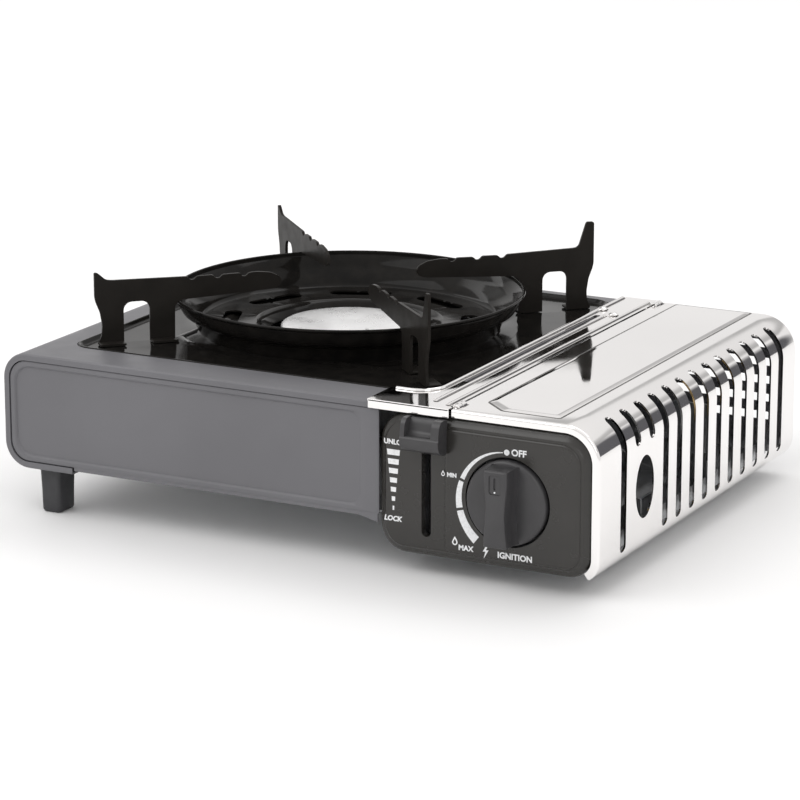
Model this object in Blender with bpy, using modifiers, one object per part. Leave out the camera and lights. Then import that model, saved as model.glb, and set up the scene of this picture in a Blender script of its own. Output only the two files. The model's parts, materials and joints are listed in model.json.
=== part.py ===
"""Portable single-burner cassette stove, modelled in metres with +Z up.

The origin is the centre of the bounding box's base, on the table. +X points to the cartridge
bay at the right, -Y to the front with the knob and the lock lever. The gas cartridge itself
isn't part of the stove.
"""

import math

import bmesh
import bpy
from mathutils import Matrix, Vector

# ---------------------------------------------------------------- driving sizes, in metres
BODY_WIDTH = 0.340
BODY_DEPTH = 0.256
DECK_HEIGHT = 0.0860
BODY_BOTTOM = 0.0245  # underside of the burner side
BAY_BOTTOM = 0.0102  # underside of the deeper cartridge side
BURNER_FROM_LEFT = 0.1305
BURNER_FROM_FRONT = 0.137
BAY_WIDTH = 0.0803  # from the lid's hinge to the right face
CONTROL_WIDTH = 0.1193
SHEET = 0.0010
GAP = 0.0004  # between pieces that touch on the real stove
RUNNING = 0.0005  # between a moving piece and what guides it

SHELL_ROUND = 0.0140
RIM_WIDTH = 0.0035
SHELL_WRAP = 0.041

TRAY_WIDTH = 0.212
TRAY_DEPTH = 0.224
TRAY_CORNER = 0.012
TRAY_DROP = 0.0018  # tray floor under the deck
LEDGE_WIDTH = 0.004

LID_RISE = 0.0010  # lid top over the deck
LID_ROUND = 0.0190
LID_CURL = 0.0125
LID_CURL_TURN = 55  # degrees
LID_DROP = 0.0017  # the lid's lowest line under the bay's underside
LID_SEAM = 0.0009
LOUVRES = 13
LOUVRE_PITCH = 0.0171
LOUVRE_WIDTH = 0.0058
FIRST_LOUVRE = 0.0285  # from the front face to the first slot's middle
SHORT_LOUVRES = (1, 2)
OVAL_WIDTH = 0.022
OVAL_HEIGHT = 0.032
EYE_RADIUS = 0.0022
EYE_LENGTH = 0.0040
PIN_RADIUS = 0.0009

PRESS_BORDER = 0.0030  # flat border round a pressed panel
PRESS_SLOPE = 0.0012
FRONT_PRESS = 0.0016  # depth of the front panel's pressing
REAR_PRESS = 0.0012
VENT_ROWS = 5
VENT_PITCH = 0.0100
VENT_HEIGHT = 0.0044
VENT_LENGTH = 0.0570
VENTS_FROM_RIGHT = 0.0125
TOP_VENT_DROP = 0.0150  # top row's middle under the deck

KNOB_RADIUS = 0.0215
KNOB_PROUD = 0.0158
KNOB_DISC = 0.0040  # disc face in front of the control panel
KNOB_FROM_RIGHT = 0.0483
KNOB_HEIGHT = 0.0444
SHAFT_RADIUS = 0.0030
LEVER_FROM_RIGHT = 0.0930
LEVER_TRAVEL = 0.035
LEVER_DROP = 0.0135
LEVER_TAB_WIDTH = 0.0205
LEVER_TAB_HEIGHT = 0.0150
LEVER_SLOT_WIDTH = 0.0052
PUSHER_TRAVEL = 0.009

RING_RADIUS = 0.0940
RING_RISE = 0.0195  # the rim over the deck
RING_BASE_RADIUS = 0.0780
LEDGE_RISE = 0.0020  # the ring's inner ledge over the deck
RING_SLOTS = 8
RING_SLOT_WIDTH = 0.0070
RING_SLOT_LENGTH = 0.0240
CAP_RADIUS = 0.0367
CAP_RISE = 0.0004
TUBE_RADIUS = 0.0055
TUBE_Z = 0.0560
WIRE_RADIUS = 0.0010
WIRE_HOLE_Z = 0.0380

SUPPORT_REACH = 0.1389
SUPPORT_LENGTH = 0.106
SUPPORT_RISE = 0.0328  # the arms' top over the deck
TALL_HORN = 0.0131
SMALL_HORN = 0.0034
SUPPORT_THICKNESS = 0.0016

FOOT_WIDTH = 0.0125
FOOT_DEPTH = 0.0160
FOOT_FROM_LEFT = 0.0165
FOOT_FROM_FACE = 0.0065  # from the front and the back face
SHORT_FOOT_RADIUS = 0.0080
SHORT_FOOT_FROM_RIGHT = 0.030
SHORT_FOOT_FROM_FACE = 0.0500

# ---------------------------------------------------------------- places that follow from them
LEFT = -BODY_WIDTH / 2
RIGHT = BODY_WIDTH / 2
FRONT = (KNOB_PROUD - BODY_DEPTH) / 2
BACK = FRONT + BODY_DEPTH
BURNER_X = LEFT + BURNER_FROM_LEFT
BURNER_Y = FRONT + BURNER_FROM_FRONT
HINGE_X = RIGHT - BAY_WIDTH
CONTROL_LEFT = RIGHT - CONTROL_WIDTH
DECK_RIGHT = HINGE_X - 0.006
TRAY_FLOOR = DECK_HEIGHT - TRAY_DROP
RING_TOP = DECK_HEIGHT + RING_RISE
RING_LEDGE = DECK_HEIGHT + LEDGE_RISE
CAP_HEIGHT = DECK_HEIGHT + CAP_RISE
SUPPORT_TOP = DECK_HEIGHT + SUPPORT_RISE
LID_TOP = DECK_HEIGHT + LID_RISE
LEVER_TOP = DECK_HEIGHT - LEVER_DROP
LID_BOTTOM = BAY_BOTTOM - LID_DROP
LID_LIP = 0.0040
LID_LEFT = HINGE_X + LID_SEAM
HINGE_Z = LID_TOP - SHEET / 2
HINGE_AXIS_X = LID_LEFT + 0.0007
PARTITION_X = HINGE_X - 0.012
INNER_FLOOR = BODY_BOTTOM + 0.0012
BAY_FLOOR = BAY_BOTTOM + SHEET
PANEL_INSET = RIM_WIDTH + GAP
CONTROL_INSET = LID_LIP + 0.0006
CONTROL_DEPTH = 0.011
CONTROL_WALL = 0.0022
KNOB_X = RIGHT - KNOB_FROM_RIGHT
LEVER_X = RIGHT - LEVER_FROM_RIGHT
BRACKET_Y = FRONT + CONTROL_DEPTH + 0.0025
CARTRIDGE_X = HINGE_X + 0.0335
CARTRIDGE_Z = 0.0498
CARTRIDGE_RADIUS = 0.0335
PIN_LENGTH = 2 * EYE_LENGTH + 2.6 * RUNNING
EYE_STARTS = (FRONT + 0.0035, BACK - 0.0125)  # the lid's eyes; the plate's follow behind each
PLATE_SCREWS = (
    (HINGE_X - 0.0190, BACK - 0.0340),
    (HINGE_X - 0.0085, BACK - 0.0430),
)
SCREW_HOLE_RADIUS = 0.0019
REGULATOR_Y = BRACKET_Y + SHEET + GAP  # the regulator's front face
TUBE_Y = REGULATOR_Y + 0.0120
WIRE_Y = FRONT + 0.060

# ---------------------------------------------------------------- scene, materials, small helpers
for old in list(bpy.data.objects):
    bpy.data.objects.remove(old, do_unlink=True)

PARTS = bpy.data.collections.new("camping_stove")
CUTTERS = bpy.data.collections.new("cutters")
bpy.context.scene.collection.children.link(PARTS)
bpy.context.scene.collection.children.link(CUTTERS)
CUTTERS.hide_render = True  # pieces in the making, and the cutters that they use up


def material(name, colour, roughness, metallic):
    made = bpy.data.materials.new(name)
    made.use_nodes = True
    shader = made.node_tree.nodes["Principled BSDF"]
    shader.inputs["Base Color"].default_value = (*colour, 1.0)
    shader.inputs["Roughness"].default_value = roughness
    shader.inputs["Metallic"].default_value = metallic
    return made


GREY_PAINT = ((0.155, 0.155, 0.165), 0.42, 0.0)
GALVANISED = ((0.50, 0.51, 0.52), 0.45, 1.0)
CHROME = ((0.78, 0.77, 0.75), 0.12, 1.0)
ENAMEL = ((0.012, 0.012, 0.013), 0.12, 0.0)
BLACK_PLASTIC = ((0.035, 0.034, 0.034), 0.28, 0.0)
MATT_BLACK = ((0.030, 0.030, 0.031), 0.55, 0.0)
BRASS = ((0.72, 0.52, 0.24), 0.30, 1.0)
CAST_METAL = ((0.60, 0.60, 0.60), 0.40, 1.0)
BRIGHT_METAL = ((0.80, 0.79, 0.77), 0.30, 1.0)
CERAMIC = ((0.82, 0.80, 0.75), 0.35, 0.0)


def link(obj, finish):
    """Puts a finished piece in the parts' collection with its own material."""
    CUTTERS.objects.unlink(obj)
    PARTS.objects.link(obj)
    obj.data.materials.clear()
    obj.data.materials.append(material(obj.name + "_material", *finish))
    return obj


def set_origin(obj, place):
    """Moves a piece's origin, for instance onto its joint's axis, and leaves its shape where it is."""
    obj.data.transform(Matrix.Translation(-Vector(place)) @ obj.matrix_world)
    obj.matrix_world = Matrix.Translation(place)
    return obj


def from_bmesh(name, shape):
    mesh = bpy.data.meshes.new(name)
    bmesh.ops.recalc_face_normals(shape, faces=shape.faces)
    shape.to_mesh(mesh)
    shape.free()
    obj = bpy.data.objects.new(name, mesh)
    CUTTERS.objects.link(obj)
    return obj


def box(name, low, high, bevel=0.0, segments=2):
    """A block between two corners, with its edges rounded where a bevel is given."""
    low, high = Vector(low), Vector(high)
    shape = bmesh.new()
    bmesh.ops.create_cube(shape, size=1.0)
    size = high - low
    bmesh.ops.scale(shape, vec=size, verts=shape.verts)
    if bevel:
        bmesh.ops.bevel(
            shape, geom=list(shape.edges), offset=bevel, segments=segments, affect="EDGES", profile=0.5
        )
    obj = from_bmesh(name, shape)
    obj.location = (low + high) / 2
    return obj


TURN = {"X": Matrix.Rotation(math.pi / 2, 4, "Y"), "Y": Matrix.Rotation(math.pi / 2, 4, "X")}


def cylinder(name, centre, axis, radius, length, segments=24, end_radius=None):
    """A cylinder or cone along X, Y or Z around its centre."""
    shape = bmesh.new()
    bmesh.ops.create_cone(
        shape,
        cap_ends=True,
        segments=segments,
        radius1=radius,
        radius2=radius if end_radius is None else end_radius,
        depth=length,
    )
    if axis in TURN:
        bmesh.ops.transform(shape, matrix=TURN[axis], verts=shape.verts)
    obj = from_bmesh(name, shape)
    obj.location = centre
    return obj


def as_mesh(curve_object):
    """The curve's evaluated mesh as a new object in the same place, with its caps welded."""
    bpy.context.view_layer.update()
    graph = bpy.context.evaluated_depsgraph_get()
    mesh = bpy.data.meshes.new_from_object(curve_object.evaluated_get(graph))
    shape = bmesh.new()
    shape.from_mesh(mesh)
    bmesh.ops.remove_doubles(shape, verts=shape.verts, dist=0.000001)
    bmesh.ops.recalc_face_normals(shape, faces=shape.faces)
    shape.to_mesh(mesh)
    shape.free()
    obj = bpy.data.objects.new(curve_object.name, mesh)
    obj.matrix_world = curve_object.matrix_world.copy()
    name = curve_object.name
    bpy.data.objects.remove(curve_object, do_unlink=True)
    obj.name = name
    CUTTERS.objects.link(obj)
    return obj


UPRIGHT = Matrix.Rotation(math.pi / 2, 4, "X")  # lays an XY outline in the XZ plane, facing -Y


def plate(name, outlines, thickness, place):
    """A flat outline, with any holes as further outlines, given half its thickness each way."""
    curve = bpy.data.curves.new(name, "CURVE")
    curve.dimensions = "2D"
    curve.fill_mode = "BOTH"
    curve.extrude = thickness / 2
    for points in outlines:
        spline = curve.splines.new("POLY")
        spline.points.add(len(points) - 1)
        for point, (x, y) in zip(spline.points, points):
            point.co = (x, y, 0.0, 1.0)
        spline.use_cyclic_u = True
    obj = bpy.data.objects.new(name, curve)
    CUTTERS.objects.link(obj)
    obj.matrix_world = place
    return as_mesh(obj)


def front_plate(name, outlines, near, far):
    """A plate whose XZ outline runs back from y = near to y = far."""
    middle = Matrix.Translation((0.0, (near + far) / 2, 0.0))
    return plate(name, outlines, far - near, middle @ UPRIGHT)


def level_plate(name, outlines, bottom, top):
    """A plate whose XY outline stands between two heights."""
    return plate(name, outlines, top - bottom, Matrix.Translation((0.0, 0.0, (bottom + top) / 2)))


def arc(centre, radius, start, end, steps):
    """Points on a round stretch, with the angles in degrees."""
    turns = [math.radians(start + (end - start) * i / steps) for i in range(steps + 1)]
    return [(centre[0] + radius * math.cos(t), centre[1] + radius * math.sin(t)) for t in turns]


def rounded(low, high, radii, steps=5):
    """A rounded rectangle, anticlockwise, with its radii from the lower left corner on."""
    if isinstance(radii, float):
        radii = (radii,) * 4
    a, b, c, d = radii
    return (
        arc((low[0] + a, low[1] + a), a, 180, 270, steps)
        + arc((high[0] - b, low[1] + b), b, 270, 360, steps)
        + arc((high[0] - c, high[1] - c), c, 0, 90, steps)
        + arc((low[0] + d, high[1] - d), d, 90, 180, steps)
    )


def tube(name, points, radius, sides=2):
    curve = bpy.data.curves.new(name, "CURVE")
    curve.dimensions = "3D"
    curve.bevel_depth = radius
    curve.bevel_resolution = sides
    curve.use_fill_caps = True
    spline = curve.splines.new("POLY")
    spline.points.add(len(points) - 1)
    for point, place in zip(spline.points, points):
        point.co = (*place, 1.0)
    obj = bpy.data.objects.new(name, curve)
    CUTTERS.objects.link(obj)
    return as_mesh(obj)


def turned(name, profile, centre, segments=48):
    """A piece of revolution about Z from a closed profile of (radius, height) points."""
    shape = bmesh.new()
    points = [shape.verts.new((r, 0.0, z)) for r, z in profile]
    for start, end in zip(points, points[1:] + points[:1]):
        shape.edges.new((start, end))
    mesh = bpy.data.meshes.new(name)
    shape.to_mesh(mesh)
    shape.free()
    obj = bpy.data.objects.new(name, mesh)
    CUTTERS.objects.link(obj)
    obj.location = centre
    screw = obj.modifiers.new("turn", "SCREW")
    screw.steps = segments
    screw.render_steps = segments
    screw.use_merge_vertices = True
    screw.merge_threshold = 0.00001
    screw.use_smooth_shade = True
    return obj


def smooth_path(stops, steps):
    """A smooth curve through the stops, each stretch cut into equal steps."""
    ends = [stops[0]] + list(stops) + [stops[-1]]
    path = []
    for i in range(1, len(ends) - 2):
        a, b, c, d = (Vector(ends[i + k]) for k in (-1, 0, 1, 2))
        for step in range(steps):
            t = step / steps
            square, cube = 2 * a - 5 * b + 4 * c - d, 3 * b - a - 3 * c + d
            path.append(0.5 * (2 * b + (c - a) * t + square * t**2 + cube * t**3))
    path.append(Vector(stops[-1]))
    return path


def apply_modifiers(obj):
    """Bakes an object's modifiers into its mesh, so that it can be joined or cut further."""
    bpy.context.view_layer.update()
    graph = bpy.context.evaluated_depsgraph_get()
    mesh = bpy.data.meshes.new_from_object(obj.evaluated_get(graph))
    obj.modifiers.clear()
    obj.data = mesh
    return obj


def boolean(target, tool, operation):
    """Joins or cuts with another object, which is used up."""
    modifier = target.modifiers.new(operation.lower(), "BOOLEAN")
    modifier.operation = operation
    modifier.solver = "EXACT"
    modifier.object = tool
    apply_modifiers(target)
    bpy.data.objects.remove(tool, do_unlink=True)
    return target


def join(target, *tools):
    for tool in tools:
        boolean(target, tool, "UNION")
    return target


def cut(target, *tools):
    for tool in tools:
        boolean(target, tool, "DIFFERENCE")
    return target


def group(name, pieces):
    """Separate cutters as one object, so that they cut in one go."""
    shape = bmesh.new()
    for piece in pieces:
        piece.data.transform(piece.matrix_basis)
        shape.from_mesh(piece.data)
        bpy.data.objects.remove(piece, do_unlink=True)
    return from_bmesh(name, shape)


def smooth(obj, degrees=35):
    obj.data.shade_smooth()
    obj.data.set_sharp_from_angle(angle=math.radians(degrees))
    return obj


# ---------------------------------------------------------------- outlines shared by several pieces
def shell_path(inset):
    """The shell's section from its wrapped bottom edge round the left side to the deck's end."""
    bottom = (LEFT + SHELL_ROUND, BODY_BOTTOM + SHELL_ROUND)
    top = (LEFT + SHELL_ROUND, DECK_HEIGHT - SHELL_ROUND)
    radius = SHELL_ROUND - inset
    return (
        [(LEFT + SHELL_WRAP, BODY_BOTTOM + inset)]
        + arc(bottom, radius, 270, 180, 7)
        + arc(top, radius, 180, 90, 7)
        + [(DECK_RIGHT, DECK_HEIGHT - inset)]
    )


def lid_path(inset, start=0.0, turn=LID_CURL_TURN):
    """The lid's section from the hinge over the rounded edge to the curl under the bay."""
    top = (RIGHT - LID_ROUND, LID_TOP - LID_ROUND)
    bottom = (RIGHT - LID_CURL, LID_BOTTOM + LID_CURL)
    return (
        [(LID_LEFT + start, LID_TOP - inset)]
        + arc(top, LID_ROUND - inset, 90, 0, 8)
        + arc(bottom, LID_CURL - inset, 0, -turn, 6)
    )


def lip_path(inset):
    """The lid's section again, a little shorter at both ends, for its turned-in lips."""
    return lid_path(inset, SHEET / 2, LID_CURL_TURN - 4)


def band(path, outer, inner):
    """The closed section of a bent sheet between two insets: one line out, the other back."""
    return path(outer) + path(inner)[::-1]


# ---------------------------------------------------------------- body: sheet metal
def body_shell():
    shell = front_plate("body_shell", [band(shell_path, 0.0, SHEET)], FRONT, BACK)
    front_rim = front_plate("front_rim", [band(shell_path, SHEET / 2, RIM_WIDTH)], FRONT, FRONT + SHEET)
    back_rim = front_plate("back_rim", [band(shell_path, SHEET / 2, RIM_WIDTH)], BACK - SHEET, BACK)
    join(shell, front_rim, back_rim)
    low = (BURNER_X - TRAY_WIDTH / 2, BURNER_Y - TRAY_DEPTH / 2)
    high = (BURNER_X + TRAY_WIDTH / 2, BURNER_Y + TRAY_DEPTH / 2)
    ledge_top = TRAY_FLOOR - SHEET - GAP

    def grown(by):
        return rounded((low[0] - by, low[1] - by), (high[0] + by, high[1] + by), TRAY_CORNER + by)

    well = level_plate(
        "well", [grown(SHEET), grown(0.0)], ledge_top - SHEET / 2, DECK_HEIGHT - SHEET / 2
    )
    ledge = level_plate("ledge", [grown(SHEET), grown(-LEDGE_WIDTH)], ledge_top - SHEET, ledge_top)
    opening = level_plate("opening", [grown(0.0)], ledge_top + SHEET / 2, DECK_HEIGHT + SHEET)
    cut(shell, opening)
    join(shell, well, ledge)
    return link(smooth(shell), GREY_PAINT)


def pressed_panel(name, outline, y, steps, outward):
    """A sheet pressed to a shallow dish: each step is (width of the border, depth)."""
    shape = bmesh.new()
    face = shape.faces.new([shape.verts.new((x, y, z)) for x, z in outline])
    shape.normal_update()
    if face.normal.y * outward < 0:
        face.normal_flip()
    for width, depth in steps:
        shape.faces.ensure_lookup_table()
        middle = max(shape.faces, key=lambda f: f.calc_area())
        bmesh.ops.inset_region(
            shape,
            faces=[middle],
            thickness=width,
            depth=-depth,
            use_boundary=True,
            use_even_offset=True,
        )
    mesh = bpy.data.meshes.new(name)
    shape.to_mesh(mesh)
    shape.free()
    obj = bpy.data.objects.new(name, mesh)
    CUTTERS.objects.link(obj)
    solid = obj.modifiers.new("sheet", "SOLIDIFY")
    solid.thickness = SHEET
    solid.offset = -1.0
    return apply_modifiers(obj)


def front_panel():
    inset = PANEL_INSET
    left = LEFT + inset
    bottom = BODY_BOTTOM + inset
    top = DECK_HEIGHT - inset
    radius = SHELL_ROUND - inset
    outline = (
        arc((left + radius, bottom + radius), radius, 180, 270, 5)
        + [(CONTROL_LEFT - GAP, bottom), (CONTROL_LEFT - GAP, top)]
        + arc((left + radius, top - radius), radius, 90, 180, 5)
    )
    steps = [(PRESS_BORDER, 0.0), (PRESS_SLOPE, FRONT_PRESS)]
    panel = pressed_panel("front_panel", outline, FRONT + GAP, steps, -1)
    flange = box(
        "flange",
        (LEFT + SHELL_WRAP + GAP * 2, FRONT + GAP, BODY_BOTTOM + 0.0016),
        (CONTROL_LEFT - GAP, FRONT + GAP + SHEET, bottom + SHEET),
    )
    join(panel, flange)
    return link(smooth(panel, 25), GREY_PAINT)


def rear_outline(inset):
    """The back's outline: the burner side's rounded left, the bay's deeper rounded right."""
    left, radius = LEFT + inset, SHELL_ROUND - inset
    right = RIGHT - CONTROL_INSET
    lid_radius = LID_ROUND - CONTROL_INSET
    curl = LID_CURL
    return (
        arc((left + radius, BODY_BOTTOM + SHELL_ROUND), radius, 180, 270, 5)
        + [(CONTROL_LEFT, BODY_BOTTOM + inset), (CONTROL_LEFT, BAY_BOTTOM)]
        + arc((right - curl, BAY_BOTTOM + curl), curl, 270, 360, 4)
        + arc((right - lid_radius, DECK_HEIGHT - inset - lid_radius), lid_radius, 0, 90, 6)
        + arc((left + radius, DECK_HEIGHT - SHELL_ROUND), radius, 90, 180, 5)
    )


def rear_panel():
    """The back sheet, with rows of vents behind the cartridge."""
    steps = [(PRESS_BORDER, 0.0), (PRESS_SLOPE, REAR_PRESS)]
    panel = pressed_panel("rear_panel", rear_outline(PANEL_INSET), BACK - GAP, steps, 1)
    right = RIGHT - VENTS_FROM_RIGHT
    for row in range(VENT_ROWS):
        z = DECK_HEIGHT - TOP_VENT_DROP - row * VENT_PITCH
        low = (right - VENT_LENGTH, z - VENT_HEIGHT / 2)
        high = (right, z + VENT_HEIGHT / 2)
        slot = front_plate("vent", [rounded(low, high, VENT_HEIGHT / 2.1, 3)], BACK - 0.006, BACK + 0.004)
        cut(panel, slot)
    return link(smooth(panel, 25), GREY_PAINT)


def base_pan():
    """The bottom sheet, which steps down from the burner side to the cartridge bay."""
    left = LEFT + SHELL_ROUND
    step = CONTROL_LEFT + 0.004
    right = RIGHT - LID_CURL - 0.002
    turn_up = 0.008

    def path(inset):
        return [
            (left, INNER_FLOOR + inset),
            (step + inset, INNER_FLOOR + inset),
            (step + inset, BAY_BOTTOM + inset),
            (right - inset, BAY_BOTTOM + inset),
            (right - inset, BAY_BOTTOM + turn_up),
        ]

    pan = front_plate("base_pan", [band(path, 0.0, SHEET)], FRONT + 0.0125, BACK - 0.0040)
    return link(pan, GALVANISED)


def partition():
    """The heat shield between burner and cartridge, on a foot flange, with a hole for the gas tube."""
    floor = BAY_FLOOR + GAP
    top = TRAY_FLOOR - SHEET - GAP - SHEET - 0.0010
    near, far = BRACKET_Y + SHEET + 0.004, BACK - 0.0045
    wall = box("partition", (PARTITION_X, near, floor), (PARTITION_X + SHEET, far, top))
    foot = box("foot", (PARTITION_X, near, floor), (PARTITION_X + 0.008, far, floor + SHEET))
    join(wall, foot)
    tube_room, wire_room = 0.0011, 0.0024
    through = 0.02
    tube_place = (PARTITION_X, TUBE_Y, TUBE_Z)
    wire_place = (PARTITION_X, WIRE_Y, WIRE_HOLE_Z)
    tube_hole = cylinder("hole", tube_place, "X", TUBE_RADIUS + tube_room, through, 20)
    wire_hole = cylinder("hole", wire_place, "X", WIRE_RADIUS + wire_room, through, 16)
    cut(wall, tube_hole, wire_hole)
    vent_count, vent_pitch, vent_length, vent_height = 4, 0.035, 0.022, 0.004
    vent_low = INNER_FLOOR + 0.0043
    for i in range(vent_count):
        y = TUBE_Y + 0.050 + i * vent_pitch
        low = (PARTITION_X - SHEET, y, vent_low)
        high = (PARTITION_X + 2 * SHEET, y + vent_length, vent_low + vent_height)
        cut(wall, box("vent", low, high))
    return link(wall, GALVANISED)


def valve_bracket():
    """The steel front of the bay behind the plastic panel: it carries the gas valve and guides the lever."""
    low = (CONTROL_LEFT + 0.005 + GAP, BAY_FLOOR + GAP)
    high = (RIGHT - LID_CURL - 0.002 - SHEET - GAP, DECK_HEIGHT - SHEET - 0.0025)
    holes = [
        rounded(low, high, 0.004, 3),
        rounded(
            (LEVER_X - LEVER_SLOT_WIDTH / 2 - 0.0006, LEVER_TOP - LEVER_TRAVEL - 0.0085),
            (LEVER_X + LEVER_SLOT_WIDTH / 2 + 0.0006, LEVER_TOP + 0.0050),
            0.0015,
            2,
        ),
        arc((KNOB_X, KNOB_HEIGHT), 0.0095, 0, 342, 19),
    ]
    bracket = front_plate("valve_bracket", holes, BRACKET_Y, BRACKET_Y + SHEET)
    return link(bracket, GALVANISED)


def top_plate():
    """The chrome strip between the tray and the lid, with two long beads and a turned-down front lip."""
    low = DECK_HEIGHT + GAP
    high = low + SHEET
    left = BURNER_X + TRAY_WIDTH / 2 + 0.0012
    front_left = CONTROL_LEFT - 0.0055
    near = FRONT - SHEET - GAP
    tray_front = BURNER_Y - TRAY_DEPTH / 2 - 0.0012
    right = HINGE_X
    outline = [
        (front_left, near),
        (right, near),
        (right, BACK),
        (left, BACK),
        (left, tray_front),
        (front_left, tray_front),
    ]
    strip = level_plate("top_plate", [outline], low, high)
    lip_drop = 0.0036
    lip = box("lip", (front_left, near, DECK_HEIGHT - lip_drop), (right, near + SHEET, high - SHEET / 2))
    join(strip, lip)
    bead_height = 0.0011
    for x, start in ((left + 0.0028, FRONT + 0.050), (right - 0.0062, FRONT + 0.014)):
        bead = box(
            "bead",
            (x - 0.0013, start, high - SHEET / 2),
            (x + 0.0013, BACK - 0.050, high + bead_height),
        )
        bevel = bead.modifiers.new("round", "BEVEL")
        bevel.width = 0.0008
        bevel.segments = 2
        apply_modifiers(bead)
        join(strip, bead)
    hinge_eyes(strip, True)
    for x, y in PLATE_SCREWS:
        cut(strip, cylinder("hole", (x, y, low), "Z", SCREW_HOLE_RADIUS, 0.01, 12))
    return link(smooth(strip, 30), CHROME)


def hinge_eyes(leaf, fixed):
    """Adds the two rolled eyes to one leaf of the hinge, and clears room for the other leaf's."""
    side = -1 if fixed else 1
    for start in EYE_STARTS:
        own = start + (EYE_LENGTH + RUNNING if fixed else 0.0)
        other = start + (0.0 if fixed else EYE_LENGTH + RUNNING)
        reach = EYE_RADIUS + RUNNING
        clear = box(
            "clear",
            (HINGE_AXIS_X - reach, other - RUNNING, HINGE_Z - 0.005),
            (HINGE_AXIS_X + reach, other + EYE_LENGTH + RUNNING, HINGE_Z + 0.005),
        )
        cut(leaf, clear)
        eye = cylinder(
            "eye", (HINGE_AXIS_X, own + EYE_LENGTH / 2, HINGE_Z), "Y", EYE_RADIUS, EYE_LENGTH, 14
        )
        arm_ends = sorted((HINGE_AXIS_X, HINGE_AXIS_X + side * (EYE_RADIUS + 0.002)))
        arm = box(
            "arm",
            (arm_ends[0], own + RUNNING / 2, HINGE_Z - SHEET * 0.4),
            (arm_ends[1], own + EYE_LENGTH - RUNNING / 2, HINGE_Z + SHEET * 0.4),
        )
        join(eye, arm)
        join(leaf, eye)
        bore = cylinder(
            "bore",
            (HINGE_AXIS_X, own + EYE_LENGTH / 2, HINGE_Z),
            "Y",
            PIN_RADIUS + 0.0003,
            EYE_LENGTH * 2,
            12,
        )
        cut(leaf, bore)


def hinge_pins():
    for start, place in zip(EYE_STARTS, ("front", "rear")):
        pin = cylinder(
            "hinge_pin_" + place,
            (HINGE_AXIS_X, start + EYE_LENGTH + RUNNING / 2, HINGE_Z),
            "Y",
            PIN_RADIUS,
            PIN_LENGTH,
            12,
        )
        link(smooth(pin), CHROME)


# ---------------------------------------------------------------- the lid over the cartridge bay
def louvre_cutter(index):
    """One louvre slot, which runs over the rounded edge and down the side."""
    y = FRONT + FIRST_LOUVRE + index * LOUVRE_PITCH
    top_x = RIGHT - LID_ROUND + LID_ROUND * math.sin(math.radians(27))
    bottom = LID_BOTTOM + LID_CURL * 0.75
    if index in SHORT_LOUVRES:
        bottom = LID_TOP - LID_ROUND - 0.0005
    return box(
        "louvre",
        (top_x, y - LOUVRE_WIDTH / 2, bottom),
        (RIGHT + 0.005, y + LOUVRE_WIDTH / 2, LID_TOP + 0.005),
    )


def cartridge_lid():
    lid = front_plate("cartridge_lid", [band(lid_path, 0.0, SHEET)], FRONT, BACK)
    front_lip = front_plate("lip", [band(lip_path, SHEET / 2, LID_LIP)], FRONT, FRONT + SHEET)
    back_lip = front_plate("lip", [band(lip_path, SHEET / 2, LID_LIP)], BACK - SHEET, BACK)
    join(lid, front_lip, back_lip)
    cut(lid, group("louvres", [louvre_cutter(index) for index in range(LOUVRES)]))
    oval_y = FRONT + FIRST_LOUVRE + (SHORT_LOUVRES[0] + SHORT_LOUVRES[1]) / 2 * LOUVRE_PITCH
    oval_z = (LID_TOP + LID_BOTTOM) / 2 - 0.004
    half_width, half_height = OVAL_WIDTH / 2, OVAL_HEIGHT / 2
    outline = [
        (half_width * math.cos(a), half_height * math.sin(a))
        for a in (math.radians(15 * i) for i in range(24))
    ]
    place = Matrix.Translation((RIGHT, oval_y, oval_z)) @ Matrix.Rotation(math.pi / 2, 4, "Z") @ UPRIGHT
    oval = plate("oval", [outline], 0.012, place)
    cut(lid, oval)
    hinge_eyes(lid, False)
    set_origin(lid, (HINGE_AXIS_X, 0.0, HINGE_Z))
    return link(smooth(lid), CHROME)


# ---------------------------------------------------------------- control panel, knob and lever
def control_panel():
    """The black moulding round the knob and the lever, hollow from behind."""

    def outline(inset):
        low = (CONTROL_LEFT + inset, BAY_BOTTOM + inset)
        high = (RIGHT - CONTROL_INSET - inset, LID_TOP - CONTROL_INSET - inset)
        radii = (0.0140, LID_CURL, LID_ROUND - CONTROL_INSET, 0.0165)
        return rounded(low, high, tuple(r - inset for r in radii), 6)

    far = FRONT + CONTROL_DEPTH
    panel = front_plate("control_panel", [outline(0.0)], FRONT, far)
    hollow = front_plate("hollow", [outline(CONTROL_WALL)], FRONT + CONTROL_WALL, far + 0.002)
    field = front_plate(
        "field",
        [
            rounded(
                (LEVER_X + 0.0092, BAY_BOTTOM + 0.0036),
                (RIGHT - CONTROL_INSET - 0.0052, LID_TOP - CONTROL_INSET - 0.0057),
                (0.003, 0.009, 0.012, 0.003),
                4,
            )
        ],
        FRONT - 0.002,
        FRONT + 0.0007,
    )
    lever_slot = front_plate(
        "slot",
        [
            rounded(
                (LEVER_X - LEVER_SLOT_WIDTH / 2, LEVER_TOP - LEVER_TRAVEL - 0.0170),
                (LEVER_X + LEVER_SLOT_WIDTH / 2, LEVER_TOP + 0.0030),
                0.0022,
                3,
            )
        ],
        FRONT - 0.002,
        FRONT + 0.005,
    )
    knob_hole = cylinder("hole", (KNOB_X, FRONT, KNOB_HEIGHT), "Y", KNOB_RADIUS + 0.0012, 0.03, 40)
    cut(panel, hollow, field, lever_slot, knob_hole)
    return link(smooth(panel, 30), BLACK_PLASTIC)


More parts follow.
